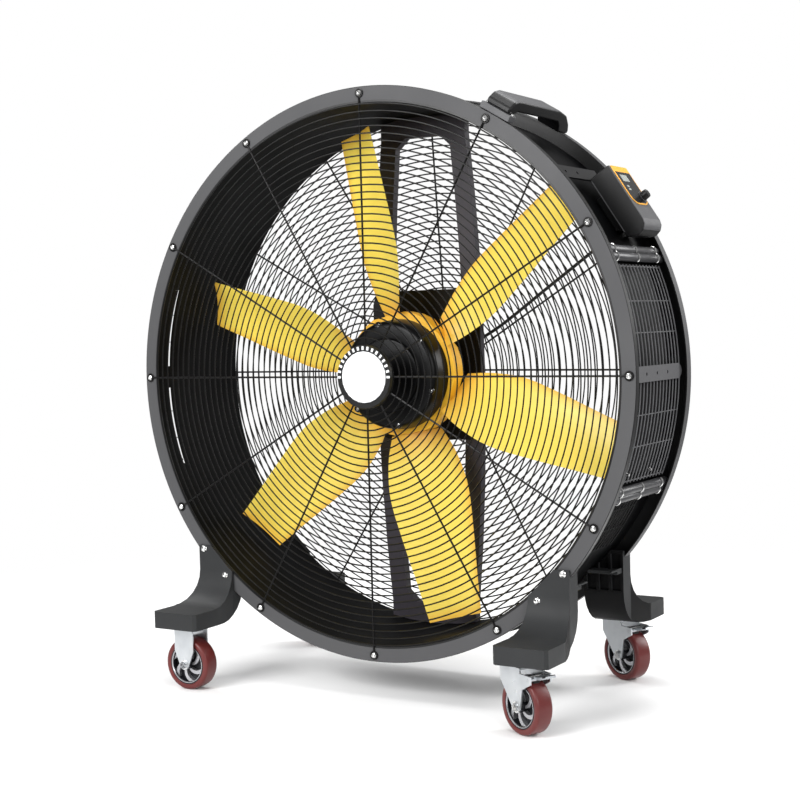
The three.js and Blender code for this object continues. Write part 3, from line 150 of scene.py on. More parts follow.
def hoop(radius, y, wire, segments, sides=6):
    """A ring of wire round the fan axis."""
    points, faces = [], []
    for i in range(segments):
        angle = 360 * i / segments
        for k in range(sides):
            turn = 2 * math.pi * k / sides
            points.append(around(radius + wire * math.cos(turn), angle, y + wire * math.sin(turn)))
    for i in range(segments):
        here, there = i * sides, ((i + 1) % segments) * sides
        for k in range(sides):
            n = (k + 1) % sides
            faces.append((here + k, here + n, there + n, there + k))
    return points, faces


def revolve(profile, segments, origin, axis="Y", closed=False):
    """A turned shape from (radius, along) pairs round an axis through origin."""
    axes = {"X": ((0, 1, 0), (0, 0, 1), (1, 0, 0)), "Y": ((0, 0, 1), (1, 0, 0), (0, 1, 0)),
            "Z": ((1, 0, 0), (0, 1, 0), (0, 0, 1))}
    first, second, along = (Vector(v) for v in axes[axis])
    centre = Vector(origin)
    count = len(profile)
    points, faces = [], []
    for i in range(segments):
        turn = 2 * math.pi * i / segments
        out = first * math.cos(turn) + second * math.sin(turn)
        points.extend(tuple(centre + out * r + along * a) for r, a in profile)
    for i in range(segments):
        here, there = i * count, ((i + 1) % segments) * count
        for k in range(count if closed else count - 1):
            n = (k + 1) % count
            faces.append((here + k, here + n, there + n, there + k))
    return points, faces


def placed(part, matrix):
    """A part moved by a matrix."""
    points, faces = part
    return [tuple(matrix @ Vector(p)) for p in points], faces


def block(low, high):
    """A box between two corners."""
    (a, b, c), (d, e, f) = low, high
    points = [(x, y, z) for x in (a, d) for y in (b, e) for z in (c, f)]
    faces = [(0, 1, 3, 2), (4, 6, 7, 5), (0, 4, 5, 1), (2, 3, 7, 6), (0, 2, 6, 4), (1, 5, 7, 3)]
    return points, faces


def box_frame(degrees):
    """Matrix from local (outwards, y, round the drum) to the row frame at an angle."""
    angle = math.radians(degrees)
    x, z = math.cos(angle), math.sin(angle)
    return Matrix(((x, 0, -z, 0), (0, 1, 0, 0), (z, 0, x, AXIS_Z), (0, 0, 0, 1)))


def bevelled(obj, width, segments=2, angle=30.0):
    """Soften the edges of an object that are sharper than an angle."""
    modifier = obj.modifiers.new("edge", "BEVEL")
    modifier.width = width * MM
    modifier.segments = segments
    modifier.limit_method = "ANGLE"
    modifier.angle_limit = math.radians(angle)
    modifier.harden_normals = True
    return obj


def dressed(node, material, width, segments=2, angle=30.0):
    """A copy of a CAD node with softened edges, shown in its place."""
    source = frame["nodes"][node]
    mesh = source.data.copy()
    mesh.materials.clear()
    work = bmesh.new()
    work.from_mesh(mesh)
    bmesh.ops.remove_doubles(work, verts=work.verts, dist=WELD)
    bmesh.ops.dissolve_limit(work, angle_limit=math.radians(FLAT_DEG), verts=work.verts, edges=work.edges)
    work.to_mesh(mesh)
    work.free()
    mesh.materials.append(material)
    mesh.shade_smooth()
    mesh.set_sharp_from_angle(angle=math.radians(angle))
    obj = bpy.data.objects.new(node + "_dressed", mesh)
    bpy.context.scene.collection.objects.link(obj)
    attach(obj, source["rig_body"])
    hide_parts(node)
    return bevelled(obj, width, segments, angle)


def painted_shade_faces(obj, material, chosen):
    """Give the faces that chosen(normal, radius, y) picks out a second, darker material: painted shade."""
    obj.data.materials.append(material)
    for polygon in obj.data.polygons:
        radius = math.hypot(polygon.center.x, polygon.center.z - AXIS_Z * MM) / MM
        if chosen(polygon.normal, radius, polygon.center.y / MM):
            polygon.material_index = 1


SLOT_OF = {row["node"]: row["material_slot"] for row in frame["record"]["subparts"]}

# ------------------------------------------------------------------ materials

MIX_A, MIX_B, MIX_RESULT = 6, 7, 2  # the colour sockets of a Mix node
COAT_ROUGHNESS = 0.15


def wear_group():
    """Node group: cloudy shade and roughness, and a fine grain for the normal."""
    group = bpy.data.node_groups.new("surface_wear", "ShaderNodeTree")
    face = group.interface
    for name, kind in (("Base", "NodeSocketColor"), ("Second", "NodeSocketColor"),
                       ("Cloud Scale", "NodeSocketFloat"), ("Grain Scale", "NodeSocketFloat"),
                       ("Rough Low", "NodeSocketFloat"), ("Rough High", "NodeSocketFloat"),
                       ("Grain", "NodeSocketFloat")):
        face.new_socket(name, in_out="INPUT", socket_type=kind)
    for name, kind in (("Color", "NodeSocketColor"), ("Roughness", "NodeSocketFloat"),
                       ("Normal", "NodeSocketVector")):
        face.new_socket(name, in_out="OUTPUT", socket_type=kind)
    nodes, links = group.nodes, group.links
    given = nodes.new("NodeGroupInput")
    result = nodes.new("NodeGroupOutput")
    place = nodes.new("ShaderNodeTexCoord")
    cloud = nodes.new("ShaderNodeTexNoise")
    cloud.inputs["Detail"].default_value = 5
    grain = nodes.new("ShaderNodeTexNoise")
    grain.inputs["Detail"].default_value = 2
    links.new(place.outputs["Object"], cloud.inputs["Vector"])
    links.new(place.outputs["Object"], grain.inputs["Vector"])
    links.new(given.outputs["Cloud Scale"], cloud.inputs["Scale"])
    links.new(given.outputs["Grain Scale"], grain.inputs["Scale"])
    mix = nodes.new("ShaderNodeMix")
    mix.data_type = "RGBA"
    links.new(cloud.outputs["Fac"], mix.inputs["Factor"])
    links.new(given.outputs["Base"], mix.inputs[MIX_A])
    links.new(given.outputs["Second"], mix.inputs[MIX_B])
    links.new(mix.outputs[MIX_RESULT], result.inputs["Color"])
    spread = nodes.new("ShaderNodeMapRange")
    spread.inputs["From Min"].default_value = 0.3
    spread.inputs["From Max"].default_value = 0.7
    links.new(cloud.outputs["Fac"], spread.inputs["Value"])
    links.new(given.outputs["Rough Low"], spread.inputs["To Min"])
    links.new(given.outputs["Rough High"], spread.inputs["To Max"])
    links.new(spread.outputs["Result"], result.inputs["Roughness"])
    bump = nodes.new("ShaderNodeBump")
    bump.inputs["Distance"].default_value = 0.0004
    links.new(grain.outputs["Fac"], bump.inputs["Height"])
    links.new(given.outputs["Grain"], bump.inputs["Strength"])
    links.new(bump.outputs["Normal"], result.inputs["Normal"])
    return group


WEAR = wear_group()


def finish(name, base, second, rough, metallic, cloud, grain_scale, grain, coat=0.0, specular=0.5):
    """A material whose two colours (linear light) and roughness drift over the surface."""
    material = bpy.data.materials.new(name)
    material.use_nodes = True
    nodes, links = material.node_tree.nodes, material.node_tree.links
    shader = nodes["Principled BSDF"]
    wear = nodes.new("ShaderNodeGroup")
    wear.node_tree = WEAR
    wear.inputs["Base"].default_value = base
    wear.inputs["Second"].default_value = second
    wear.inputs["Cloud Scale"].default_value = cloud
    wear.inputs["Grain Scale"].default_value = grain_scale
    wear.inputs["Rough Low"].default_value = rough[0]
    wear.inputs["Rough High"].default_value = rough[1]
    wear.inputs["Grain"].default_value = grain
    links.new(wear.outputs["Color"], shader.inputs["Base Color"])
    links.new(wear.outputs["Roughness"], shader.inputs["Roughness"])
    links.new(wear.outputs["Normal"], shader.inputs["Normal"])
    shader.inputs["Metallic"].default_value = metallic
    shader.inputs["Coat Weight"].default_value = coat
    shader.inputs["Coat Roughness"].default_value = COAT_ROUGHNESS
    shader.inputs["Specular IOR Level"].default_value = specular
    return material


# two screen colours, roughness from and to, metallic, scale of the clouds, scale and strength of the
# grain, and where they aren't 0 and 0.5, the coat and the specular level
FINISHES = {
    "ring_paint": ((76, 76, 77), (66, 66, 68), (0.45, 0.6), 0.0, 4, 700, 0.12, 0.0, 0.3),
    # near-black standing for painted shade on the rings' lips, channel and mouth band, and on the box strap
    "painted_shade_black": ((16, 16, 17), (11, 11, 12), (0.3, 0.4), 0.0, 4, 700, 0.1, 0.0, 0.35),
    "drum_paint": ((11, 11, 12), (5, 5, 6), (0.5, 0.65), 0.0, 5, 500, 0.12, 0.0, 0.08),
    # a darker copy of the drum's paint: painted shade on the outside of the sheet
    "drum_outside_painted_shade": ((5, 5, 6), (2, 2, 3), (0.45, 0.6), 0.0, 5, 500, 0.1, 0.0, 0.1),
    # a darker copy of the feet's grey: painted shade on faces towards the drum and underneath
    "foot_painted_shade": ((9, 9, 10), (5, 5, 6), (0.45, 0.6), 0.0, 7, 1200, 0.2, 0.0, 0.15),
    # a darker orange-yellow than the blades: painted shade on the hub carrier
    "carrier_yellow_painted_shade": ((246, 196, 48), (238, 170, 34), (0.4, 0.5), 0.0, 6, 700, 0.05),
    "wire_black": ((16, 15, 15), (9, 9, 9), (0.3, 0.42), 0.0, 20, 900, 0.05, 0.0, 0.2),
    "wire_grey": ((116, 116, 118), (80, 80, 82), (0.35, 0.5), 0.0, 20, 900, 0.05, 0.0, 0.3),
    "trim_grey": ((66, 66, 68), (50, 50, 52), (0.32, 0.45), 0.0, 12, 700, 0.15, 0.0, 0.4),
    "disc_white": ((238, 239, 240), (230, 231, 232), (0.3, 0.4), 0.0, 6, 600, 0.02),
    "plastic_black": ((14, 14, 15), (9, 9, 10), (0.36, 0.5), 0.0, 10, 1400, 0.25, 0.0, 0.3),
    # handle_black: a lit grey standing for the black handle's lit top, painted light; the control box takes
    # it too
    "handle_black": ((84, 84, 86), (66, 66, 68), (0.4, 0.5), 0.0, 8, 1400, 0.3, 0.0, 0.4),
    "hub_black": ((8, 8, 9), (5, 5, 6), (0.3, 0.4), 0.0, 9, 900, 0.06, 0.0, 0.18),
    "core_silver": ((190, 190, 193), (140, 140, 144), (0.22, 0.36), 0.8, 40, 700, 0.05),
    "plastic_grey": ((84, 84, 86), (70, 70, 72), (0.4, 0.55), 0.0, 10, 1400, 0.3, 0.0, 0.35),
    "frame_paint": ((62, 58, 66), (40, 37, 42), (0.4, 0.55), 0.0, 3, 600, 0.12, 0.0, 0.3),
    "motor_housing": ((16, 15, 16), (9, 9, 10), (0.45, 0.6), 0.0, 8, 300, 0.3, 0.0, 0.2),
    "shaft_steel": ((190, 192, 195), (160, 162, 166), (0.2, 0.35), 1.0, 30, 500, 0.05),
    "foot_grey": ((44, 45, 46), (34, 35, 36), (0.5, 0.6), 0.0, 7, 1200, 0.2, 0.0, 0.25),
    "castor_steel": ((206, 209, 212), (176, 180, 184), (0.25, 0.42), 0.9, 25, 700, 0.08),
    "bright_screw": ((226, 226, 224), (196, 196, 196), (0.15, 0.3), 1.0, 60, 900, 0.03),
    "tyre_rubber": ((104, 40, 38), (74, 27, 27), (0.28, 0.42), 0.0, 9, 800, 0.12, 0.0, 0.35),
    "wheel_core": ((20, 20, 26), (12, 12, 15), (0.35, 0.5), 0.0, 14, 900, 0.15, 0.0, 0.3),
    "panel_face": ((240, 176, 58), (228, 160, 46), (0.35, 0.45), 0.0, 10, 900, 0.05),
    "panel_black": ((14, 14, 15), (9, 9, 10), (0.2, 0.3), 0.0, 10, 900, 0.02, 0.3, 0.3),
    "display": ((172, 178, 172), (150, 156, 152), (0.15, 0.25), 0.0, 30, 900, 0.02, 0.5),
}
M = {name: finish(name, srgb(*base), srgb(*second), *rest)
     for name, (base, second, *rest) in FINISHES.items()}


def blade_material():
    """Yellow moulding with painted shade in orange towards the root, the tip and the trailing edge."""
    material = finish("blade_yellow", srgb(252, 226, 100), srgb(248, 219, 86), (0.36, 0.46), 0.0, 5, 700,
                      0.04, 0.1)
    nodes, links = material.node_tree.nodes, material.node_tree.links
    shader = nodes["Principled BSDF"]
    blade_shade = nodes.new("ShaderNodeAttribute")
    blade_shade.attribute_name = "blade_shade"
    mix = nodes.new("ShaderNodeMix")
    mix.data_type = "RGBA"
    group = next(n for n in nodes if n.type == "GROUP")
    # the orange of the painted shade
    mix.inputs[MIX_B].default_value = srgb(240, 164, 34)
    links.new(blade_shade.outputs["Fac"], mix.inputs["Factor"])
    links.new(group.outputs["Color"], mix.inputs[MIX_A])
    links.new(mix.outputs[MIX_RESULT], shader.inputs["Base Color"])
    return material


M["blade_yellow"] = blade_material()

for node, obj in frame["nodes"].items():
    for slot in obj.material_slots:
        slot.material = M[SLOT_OF[node]]

# ------------------------------------------------------------------ drum rings and sheet

FRONT_LIP = 15.0
REAR_LIP = 25.0
SHEET = 3.0
EDGE_SOFT = 1.2
MOUTH_SOFT = 1.4
MOUTH_SHADE_BAND = 6  # band at the mouth of the front ring, painted dark as shade
NEAR = 0.5  # what counts as standing on a face
SHEET_SEGMENTS = 720
SHEET_END_GAP = 3.3
SLOT_FROM_FRONT, SLOT_WIDTH = 38, 12
SLOT_ARCS = ((2.5, 20.5), (159.5, 177.5))  # degrees, on both halves of the drum


def ring_profile(face, inward, lip):
    """Section of a flanged ring, from its mouth over the face to the end of its lip."""
    outer, inner = FLANGE_OUTER_R, LINER_INNER_R
    return [
        (inner, face + inward * MOUTH_SOFT), (inner + MOUTH_SOFT, face), (inner + MOUTH_SHADE_BAND, face),
        (outer - EDGE_SOFT, face), (outer, face + inward * EDGE_SOFT), (outer, face + inward * lip),
        (outer - SHEET, face + inward * lip), (outer - SHEET, face + inward * SHEET),
        (inner, face + inward * SHEET),
    ]


for node, face, inward, lip in (("front_ring", FRONT_Y, 1, FRONT_LIP), ("rear_ring", REAR_Y, -1, REAR_LIP)):
    section = revolve(ring_profile(face, inward, lip), RING_SEGMENTS, (0, 0, AXIS_Z), closed=True)
    ring = make(node + "_turned", [section], M["ring_paint"], "fan_frame")
    # Painted shade: the front ring's lip, back and mouth band, and the rear ring's inner channel, take the
    # near-black.
    if inward > 0:
        painted_shade_faces(ring, M["painted_shade_black"], lambda n, r, y: y > face + NEAR or r < LINER_INNER_R + MOUTH_SHADE_BAND)
    else:
        painted_shade_faces(ring, M["painted_shade_black"], lambda n, r, y: y < face - NEAR and r < FLANGE_OUTER_R - NEAR)
    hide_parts(node)


def liner_parts():
    """The sheet of the drum, open at the light slots behind the front ring."""
    start, segments = FRONT_Y + SLOT_FROM_FRONT, SHEET_SEGMENTS
    rows = [FRONT_Y + SHEET_END_GAP, start, start + SLOT_WIDTH, REAR_Y - SHEET_END_GAP]
    points, faces = [], []
    for i in range(segments):
        for y in rows:
            points.append(around(LINER_INNER_R, 360 * i / segments, y))
            points.append(around(LINER_OUTER_R, 360 * i / segments, y))
    count = len(rows) * 2

    def is_slot(i, row):
        turn = (360 * i / segments) % 180
        return row == 1 and any(first <= turn < last for first, last in SLOT_ARCS)

    def at(i, row, layer):
        return (i % segments) * count + row * 2 + layer

    for i in range(segments):
        for row in range(len(rows) - 1):
            if is_slot(i, row):
                continue
            n = i + 1
            faces.append((at(i, row, 0), at(i, row + 1, 0), at(n, row + 1, 0), at(n, row, 0)))
            faces.append((at(i, row, 1), at(n, row, 1), at(n, row + 1, 1), at(i, row + 1, 1)))
            if row == 0 or is_slot(i, row - 1):
                faces.append((at(i, row, 0), at(n, row, 0), at(n, row, 1), at(i, row, 1)))
            if row == len(rows) - 2 or is_slot(i, row + 1):
                faces.append((at(i, row + 1, 0), at(i, row + 1, 1), at(n, row + 1, 1), at(n, row + 1, 0)))
            if is_slot((i - 1) % segments, row):
                faces.append((at(i, row, 0), at(i, row, 1), at(i, row + 1, 1), at(i, row + 1, 0)))
            if is_slot(n % segments, row):
                faces.append((at(n, row, 0), at(n, row + 1, 0), at(n, row + 1, 1), at(n, row, 1)))
    return points, faces


liner = make("drum_sheet", [liner_parts()], M["drum_paint"], "fan_frame")
# Painted shade: the outer face of the sheet takes the darker copy of its paint.
painted_shade_faces(liner, M["drum_outside_painted_shade"], lambda n, r, y: r > (LINER_INNER_R + LINER_OUTER_R) / 2)
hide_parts("drum_liner")

# ------------------------------------------------------------------ wire guards

SEAT_GAP = 0.3
GUARD_RINGS = 34
GUARD_FIRST_R = 74.0
GUARD_LAST_R = 620.0
GUARD_STRAIGHT = 3.4  # length of one straight piece of a ring
RING_WIRE_R = 1.75
RING_LIFT = 3.6  # flange to the middle of a ring's wire
SPOKE_ANGLES = [30.0 * k for k in range(12)]
SPOKE_WIRE_R = 2.3
SPOKE_LIFT = 1.6
SPOKE_STOPS = (52, 220, 420)
EYE_R = 9.0
EYE_STEPS = 16
DISH = 60.0
REAR_CENTRE_R = 56.0  # one more ring, behind the plate of the rear guard
REAR_PLATE_R = 66


def dish(radius, base, depth):
    """Where a guard stands at a radius: deepest in the middle, level at its last ring."""
    return base + depth * max(0.0, 1 - radius / GUARD_LAST_R)


def guard(name, base, outward, depth, centre_radii):
    """Rings on 12 spokes. Each spoke ends in an eye round its screw."""
    parts = []
    step = (GUARD_LAST_R - GUARD_FIRST_R) / (GUARD_RINGS - 1)
    for radius in [GUARD_FIRST_R + step * k for k in range(GUARD_RINGS)] + centre_radii:
        segments = max(36, int(radius / GUARD_STRAIGHT))
        ring_y = dish(radius, base + outward * RING_LIFT, depth)
        parts.append(hoop(radius, ring_y, RING_WIRE_R, segments))
    spoke_base = base + outward * SPOKE_LIFT
    for angle in SPOKE_ANGLES:
        reach = [around(r, angle, dish(r, spoke_base, depth)) for r in (*SPOKE_STOPS, SCREW_R - EYE_R)]
        parts.append(tube(reach, SPOKE_WIRE_R, 8))
        centre = Vector(around(SCREW_R, angle, spoke_base))
        eye = [tuple(centre + EYE_R * Vector((math.cos(t), 0, math.sin(t))))
               for t in (2 * math.pi * k / EYE_STEPS for k in range(EYE_STEPS))]
        parts.append(tube(eye, SPOKE_WIRE_R * 0.8, 6, closed=True))
    return make(name, parts, M["wire_black"], "fan_frame")


front_guard = guard("front_guard_wires", FRONT_Y - SEAT_GAP, -1, 0.0, [])
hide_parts("front_guard")
rear_guard = guard("rear_guard_wires", REAR_Y + SEAT_GAP, 1, DISH, [REAR_CENTRE_R])
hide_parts("rear_guard")
plate_y = dish(REAR_PLATE_R, REAR_Y + SEAT_GAP, DISH)
plate_profile = [(0, 0), (64, 0), (66, 1.5), (66, 3), (0, 3)]
make("rear_guard_plate", [revolve(plate_profile, 64, (0, plate_y - 2, AXIS_Z))], M["plastic_black"],
     "fan_frame")

SCREW_SIDES = 20
GUARD_SCREW = (7.5, 6.0)  # radius and height of a head


def screws(name, places, radius, height, outward):
    """Domed screw heads with a dimple in the middle, as one object."""
    profile = [(0.0, 0.0), (radius, 0.0), (radius, height * 0.35), (radius * 0.8, height * 0.8),
               (radius * 0.45, height), (radius * 0.3, height * 0.72), (0.0, height * 0.6)]
    profile = [(r, outward * a) for r, a in profile]
    parts = [revolve(profile, SCREW_SIDES, place) for place in places]
    make(name, parts, M["bright_screw"], "fan_frame")


screws("front_guard_screws", [around(SCREW_R, a, FRONT_Y - 0.2) for a in SPOKE_ANGLES], *GUARD_SCREW, -1)
screws("rear_guard_screws", [around(SCREW_R, a, REAR_Y + 0.2) for a in SPOKE_ANGLES], *GUARD_SCREW, 1)

# badge: cup with light ticks on its upper half, and a plain disc
TICK_COUNT = 17
TICK_R = 66.5

dressed("badge_cup", M["plastic_black"], 1.2)
dressed("badge_disc", M["disc_white"], 0.6)
ticks = []
for k in range(TICK_COUNT):
    angle = 180 * k / (TICK_COUNT - 1)
    place = Matrix.Translation(Vector(around(TICK_R, angle, 0)))
    turn = Matrix.Rotation(math.radians(90 - angle), 4, "Y")
    ticks.append(placed(block((-2.6, -175.4, -4.2), (2.6, -174.5, 4.2)), place @ turn))
make("badge_ticks", ticks, M["disc_white"], "fan_frame")


# ------------------------------------------------------------------ drum sides

CAGE_R = 640.0
CAGE_WIRES = 16
CAGE_FIRST_Y = FRONT_Y + 18
CAGE_PITCH = 18.6
CAGE_HALF_DEG = 21.5
CAGE_STEPS = 24
CAGE_WIRE_R = 1.6
CAGE_EDGE_TIES = (-21.2, 21.2)  # degrees from the middle of the cage
CAGE_TIES = (-14.1, -7.9, 7.9, 14.1)
CAGE_TIE_R = 1.1
CAGE_TIE_Y = (-144, 139)
LOW_WIRES = 13
LOW_FIRST_DEG = 24
LOW_STEPS = 16
LOW_WIRE_R = 1.4
LOW_TIES = (28.5, 33.5)
LOW_TIE_R = 0.9
LOW_TIE_Y = (-144, 82)
PAD_R = 645.5
PAD_LOBES = (22.85, 24.35)
PAD_LOBE_R = 9.6
PAD_WEB_DROP = 6
PAD_WEB_SHEET = 3.0
CLIP_Y = (-110, 4, 116)
CLIP_R = 9.8
CLIP_HALF_DEG = 0.88
CLIP_WIRE_R = 2.6
PEG_DEG = 19.2
PEG_Y = (-96, 28)
PEG_REACH = (641, 650)
PEG_R = 3.2


def pad_lobe(degrees, start, stop):
    """A bar of the side pad with a rounded section and eased ends."""
    soft = PAD_LOBE_R - 2.5
    profile = [(0, start), (soft, start), (PAD_LOBE_R, start + 3), (PAD_LOBE_R, stop - 3), (soft, stop),
               (0, stop)]
    return revolve(profile, 24, around(PAD_R, degrees, 0))


def strip_between(points, thick):
    """A thin web under the two bars: two rows of points, given a thickness inwards."""
    count = len(points) // 2
    inner = []
    for x, y, z in points:
        out = math.hypot(x, z - AXIS_Z)
        share = (out - thick) / out
        inner.append((x * share, y, AXIS_Z + (z - AXIS_Z) * share))
    total = 2 * count
    faces = []
    for i in range(count - 1):
        faces.append((i, i + 1, count + i + 1, count + i))
        faces.append((total + i, total + count + i, total + count + i + 1, total + i + 1))
    for a, b in ((0, count), (count - 1, total - 1)):
        faces.append((a, b, total + b, total + a))
    for i in range(count - 1):
        faces.append((i, total + i, total + i + 1, i + 1))
        faces.append((count + i, count + i + 1, total + count + i + 1, total + count + i))
    return points + inner, faces


def side_pad(side, middle, level, turn):
    """A two-lobed block over its CAD node, with bright clips round both lobes."""
    node = f"side_pad_{level}_{side}"
    first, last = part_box(node)
    start, stop = first[1] / MM, last[1] / MM
    lobes = [pad_lobe(middle + turn * a, start, stop) for a in PAD_LOBES]
    spread = PAD_LOBES[1] - PAD_LOBES[0]
    web = [around(PAD_R - PAD_WEB_DROP, middle + turn * (PAD_LOBES[0] + spread * i / 4), y)
           for y in (start + 2, stop - 2) for i in range(5)]
    lobes.append(strip_between(web, PAD_WEB_SHEET))
    pad = make(node + "_moulded", lobes, M["trim_grey"], "fan_frame", 40)
    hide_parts(node)
    hooks = []
    for y in CLIP_Y:
        for a in PAD_LOBES:
            arc = [math.pi * (0.05 + 0.9 * i / 10) for i in range(11)]
            hooks.append(tube([around(PAD_R + CLIP_R * math.sin(t),
                                      middle + turn * a + CLIP_HALF_DEG * math.cos(t), y) for t in arc],
                              CLIP_WIRE_R))
    make(node + "_clips", hooks, M["bright_screw"], "fan_frame")


for side, middle, up_turn in (("right", 0.0, 1), ("left", 180.0, -1)):
    sweep = [-CAGE_HALF_DEG + 2 * CAGE_HALF_DEG * i / CAGE_STEPS for i in range(CAGE_STEPS + 1)]
    parts = []
    for k in range(CAGE_WIRES):
        y = CAGE_FIRST_Y + CAGE_PITCH * k
        parts.append(tube([around(CAGE_R, middle + a, y) for a in sweep], CAGE_WIRE_R))
    for a in CAGE_EDGE_TIES:
        parts.append(tube([around(CAGE_R - 2, middle + a, y) for y in CAGE_TIE_Y], CAGE_WIRE_R))
    for a in CAGE_TIES:
        parts.append(tube([around(CAGE_R - 1, middle + a, y) for y in CAGE_TIE_Y], CAGE_TIE_R))
    cage = make("side_wires_" + side, parts, M["wire_grey"], "fan_frame")
    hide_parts("side_guard_" + side)
    low_wires = []
    for k in range(LOW_WIRES):
        y = CAGE_FIRST_Y + CAGE_PITCH * k
        low_wires.append(tube([around(LINER_OUTER_R + 2, middle - up_turn * (LOW_FIRST_DEG + i), y)
                               for i in range(LOW_STEPS)], LOW_WIRE_R))
    for a in LOW_TIES:
        low_wires.append(tube([around(LINER_OUTER_R + 3.4, middle - up_turn * a, y) for y in LOW_TIE_Y],
                              LOW_TIE_R))
    make("low_wires_" + side, low_wires, M["wire_black"], "fan_frame")
    dressed("side_bar_" + side, M["plastic_grey"], 1.0)
    side_pad(side, middle, "upper", up_turn)
    side_pad(side, middle, "lower", -up_turn)
    pegs = [tube([around(r, middle - up_turn * PEG_DEG, y) for r in PEG_REACH], PEG_R) for y in PEG_Y]
    make("cage_pegs_" + side, pegs, M["bright_screw"], "fan_frame")

# ------------------------------------------------------------------ rotor

BLADE_TIP_R = 592.0
BLADE_ROOT_R = 142.3
BLADE_ANGLES = [42 + 60 * k for k in range(6)]
BLADE_THICKNESS = 5.0
BLADE_CAMBER = 9.0
BLADE_SPANS = 30
BLADE_CHORDS = 14
ROTOR_Y = 8.0
# share of the span, width across the air stream, pitch in degrees
STATIONS = [(0, 88, 44), (0.14, 130, 38), (0.32, 157, 33), (0.55, 148, 30), (0.78, 130, 27), (1, 114, 24)]


def station(share):
    """Width across the air stream and pitch, eased between the given stations."""
    last = len(STATIONS) - 1
    k = next((k for k in range(last) if share <= STATIONS[k + 1][0]), last - 1)
    a, b = STATIONS[k], STATIONS[k + 1]
    before, after = STATIONS[max(k - 1, 0)], STATIONS[min(k + 2, last)]
    t = (share - a[0]) / (b[0] - a[0])
    out = []
    for i in (1, 2):
        m0 = (b[i] - before[i]) / (b[0] - before[0]) * (b[0] - a[0])
        m1 = (after[i] - a[i]) / (after[0] - a[0]) * (b[0] - a[0])
        out.append((2 * t**3 - 3 * t**2 + 1) * a[i] + (t**3 - 2 * t**2 + t) * m0
                   + (-2 * t**3 + 3 * t**2) * b[i] + (t**3 - t**2) * m1)
    return out


def blade_shade_amount(share, across):
    """How much painted shade, in orange, a blade takes: at its root, at its tip and along its trailing edge.
    """
    root = 0.7 * max(0.0, 1 - share / 0.16)
    tip = 0.6 * max(0.0, (share - 0.93) / 0.07)
    edge = 0.55 * max(0.0, (across - 0.4) / 0.1)
    return max(root, tip, edge)


def blade(name, angle):
    """A cambered, twisted blade with a rounded section, and its painted shade on the points."""
    points, faces, blade_shades = [], [], []
    ring = 2 * (BLADE_CHORDS + 1)
    for j in range(BLADE_SPANS + 1):
        share = j / BLADE_SPANS
        width, pitch = station(share)
        radius = BLADE_ROOT_R + share * (BLADE_TIP_R - BLADE_ROOT_R)
        tilt = math.radians(pitch)
        chord = width / math.cos(tilt)
        for side, order in ((1, range(BLADE_CHORDS + 1)), (-1, range(BLADE_CHORDS, -1, -1))):
            for i in order:
                s = i / BLADE_CHORDS - 0.5
                thick = BLADE_THICKNESS * math.sqrt(max(0.04, 1 - (2 * s) ** 6)) / 2
                lift = BLADE_CAMBER * (1 - 4 * s * s) + side * thick
                y = ROTOR_Y + s * chord * math.sin(tilt) + lift * math.cos(tilt)
                z = s * chord * math.cos(tilt) - lift * math.sin(tilt)
                points.append(around(radius, angle, y, z))
                blade_shades.append(blade_shade_amount(share, s))
    for j in range(BLADE_SPANS):
        for i in range(ring):
            n = (i + 1) % ring
            a, b = j * ring, (j + 1) * ring
            faces.append((a + i, a + n, b + n, b + i))
    faces.append(tuple(reversed(range(ring))))
    faces.append(tuple(range(BLADE_SPANS * ring, (BLADE_SPANS + 1) * ring)))
    obj = make(name, [(points, faces)], M["blade_yellow"], "rotor", 50)
    layer = obj.data.attributes.new("blade_shade", "FLOAT", "POINT")
    layer.data.foreach_set("value", blade_shades)
    return obj


for k, angle in enumerate(BLADE_ANGLES):
    skin = blade(f"blade_{k + 1}_skin", angle)
    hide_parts(f"blade_{k + 1}")

COVER_PROFILE = [(0, -76.3), (80, -76.3), (83.5, -75.5), (85, -73), (86.5, -69.2), (88, -68.3),
                 (112, -68.3), (118, -66.9), (122.5, -63.6), (125.6, -59), (127, -53.3), (131, -12.3),
                 (0, -12.3)]
HUB_BOLT_R, HUB_BOLT_Y = 119, -64.2
HUB_BOLT_PROFILE = [(0, 0), (4.6, 0), (4.6, -2.2), (3.4, -3.4), (0, -3.8)]
HUB_SEAT_PROFILE = [(5.0, -2.0), (9.0, -2.6), (9.5, 0.0), (5.0, 1.5)]

# The carrier is a darker orange-yellow than the blades, as painted shade.
dressed("hub_spider", M["carrier_yellow_painted_shade"], 1.5)
cover = make("hub_cover_turned", [revolve(COVER_PROFILE, 96, (0, 0, AXIS_Z))], M["hub_black"], "rotor",
             25)
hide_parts("hub_cover")
spots = [around(HUB_BOLT_R, angle, HUB_BOLT_Y) for angle in BLADE_ANGLES]
hub_bolts = [revolve(HUB_BOLT_PROFILE, 16, spot) for spot in spots]
hub_seats = [revolve(HUB_SEAT_PROFILE, 20, spot, closed=True) for spot in spots]
make("hub_bolts", hub_bolts, M["bright_screw"], "rotor")
make("hub_bolt_seats", hub_seats, M["panel_black"], "rotor")

# ------------------------------------------------------------------ motor, frame, handle, box and feet

MOTOR_PROFILE = [(12.3, 31), (40, 31), (42, 33), (42, 36), (96, 36), (101, 39), (104, 44), (104, 111.7),
                 (0, 111.7)]
FIN_COUNT, RIB_COUNT, VENT_COUNT = 36, 12, 16
FIN = block((103, 52, -1.4), (114.6, 108, 1.4))
RIB = block((46, 33.5, -2), (98, 37, 2))
VENT = block((40, 187.3, -3), (80, 188.25, 3))
PLATE_BOLT_Y = 118.3
PLATE_BOLT = (9, 6)

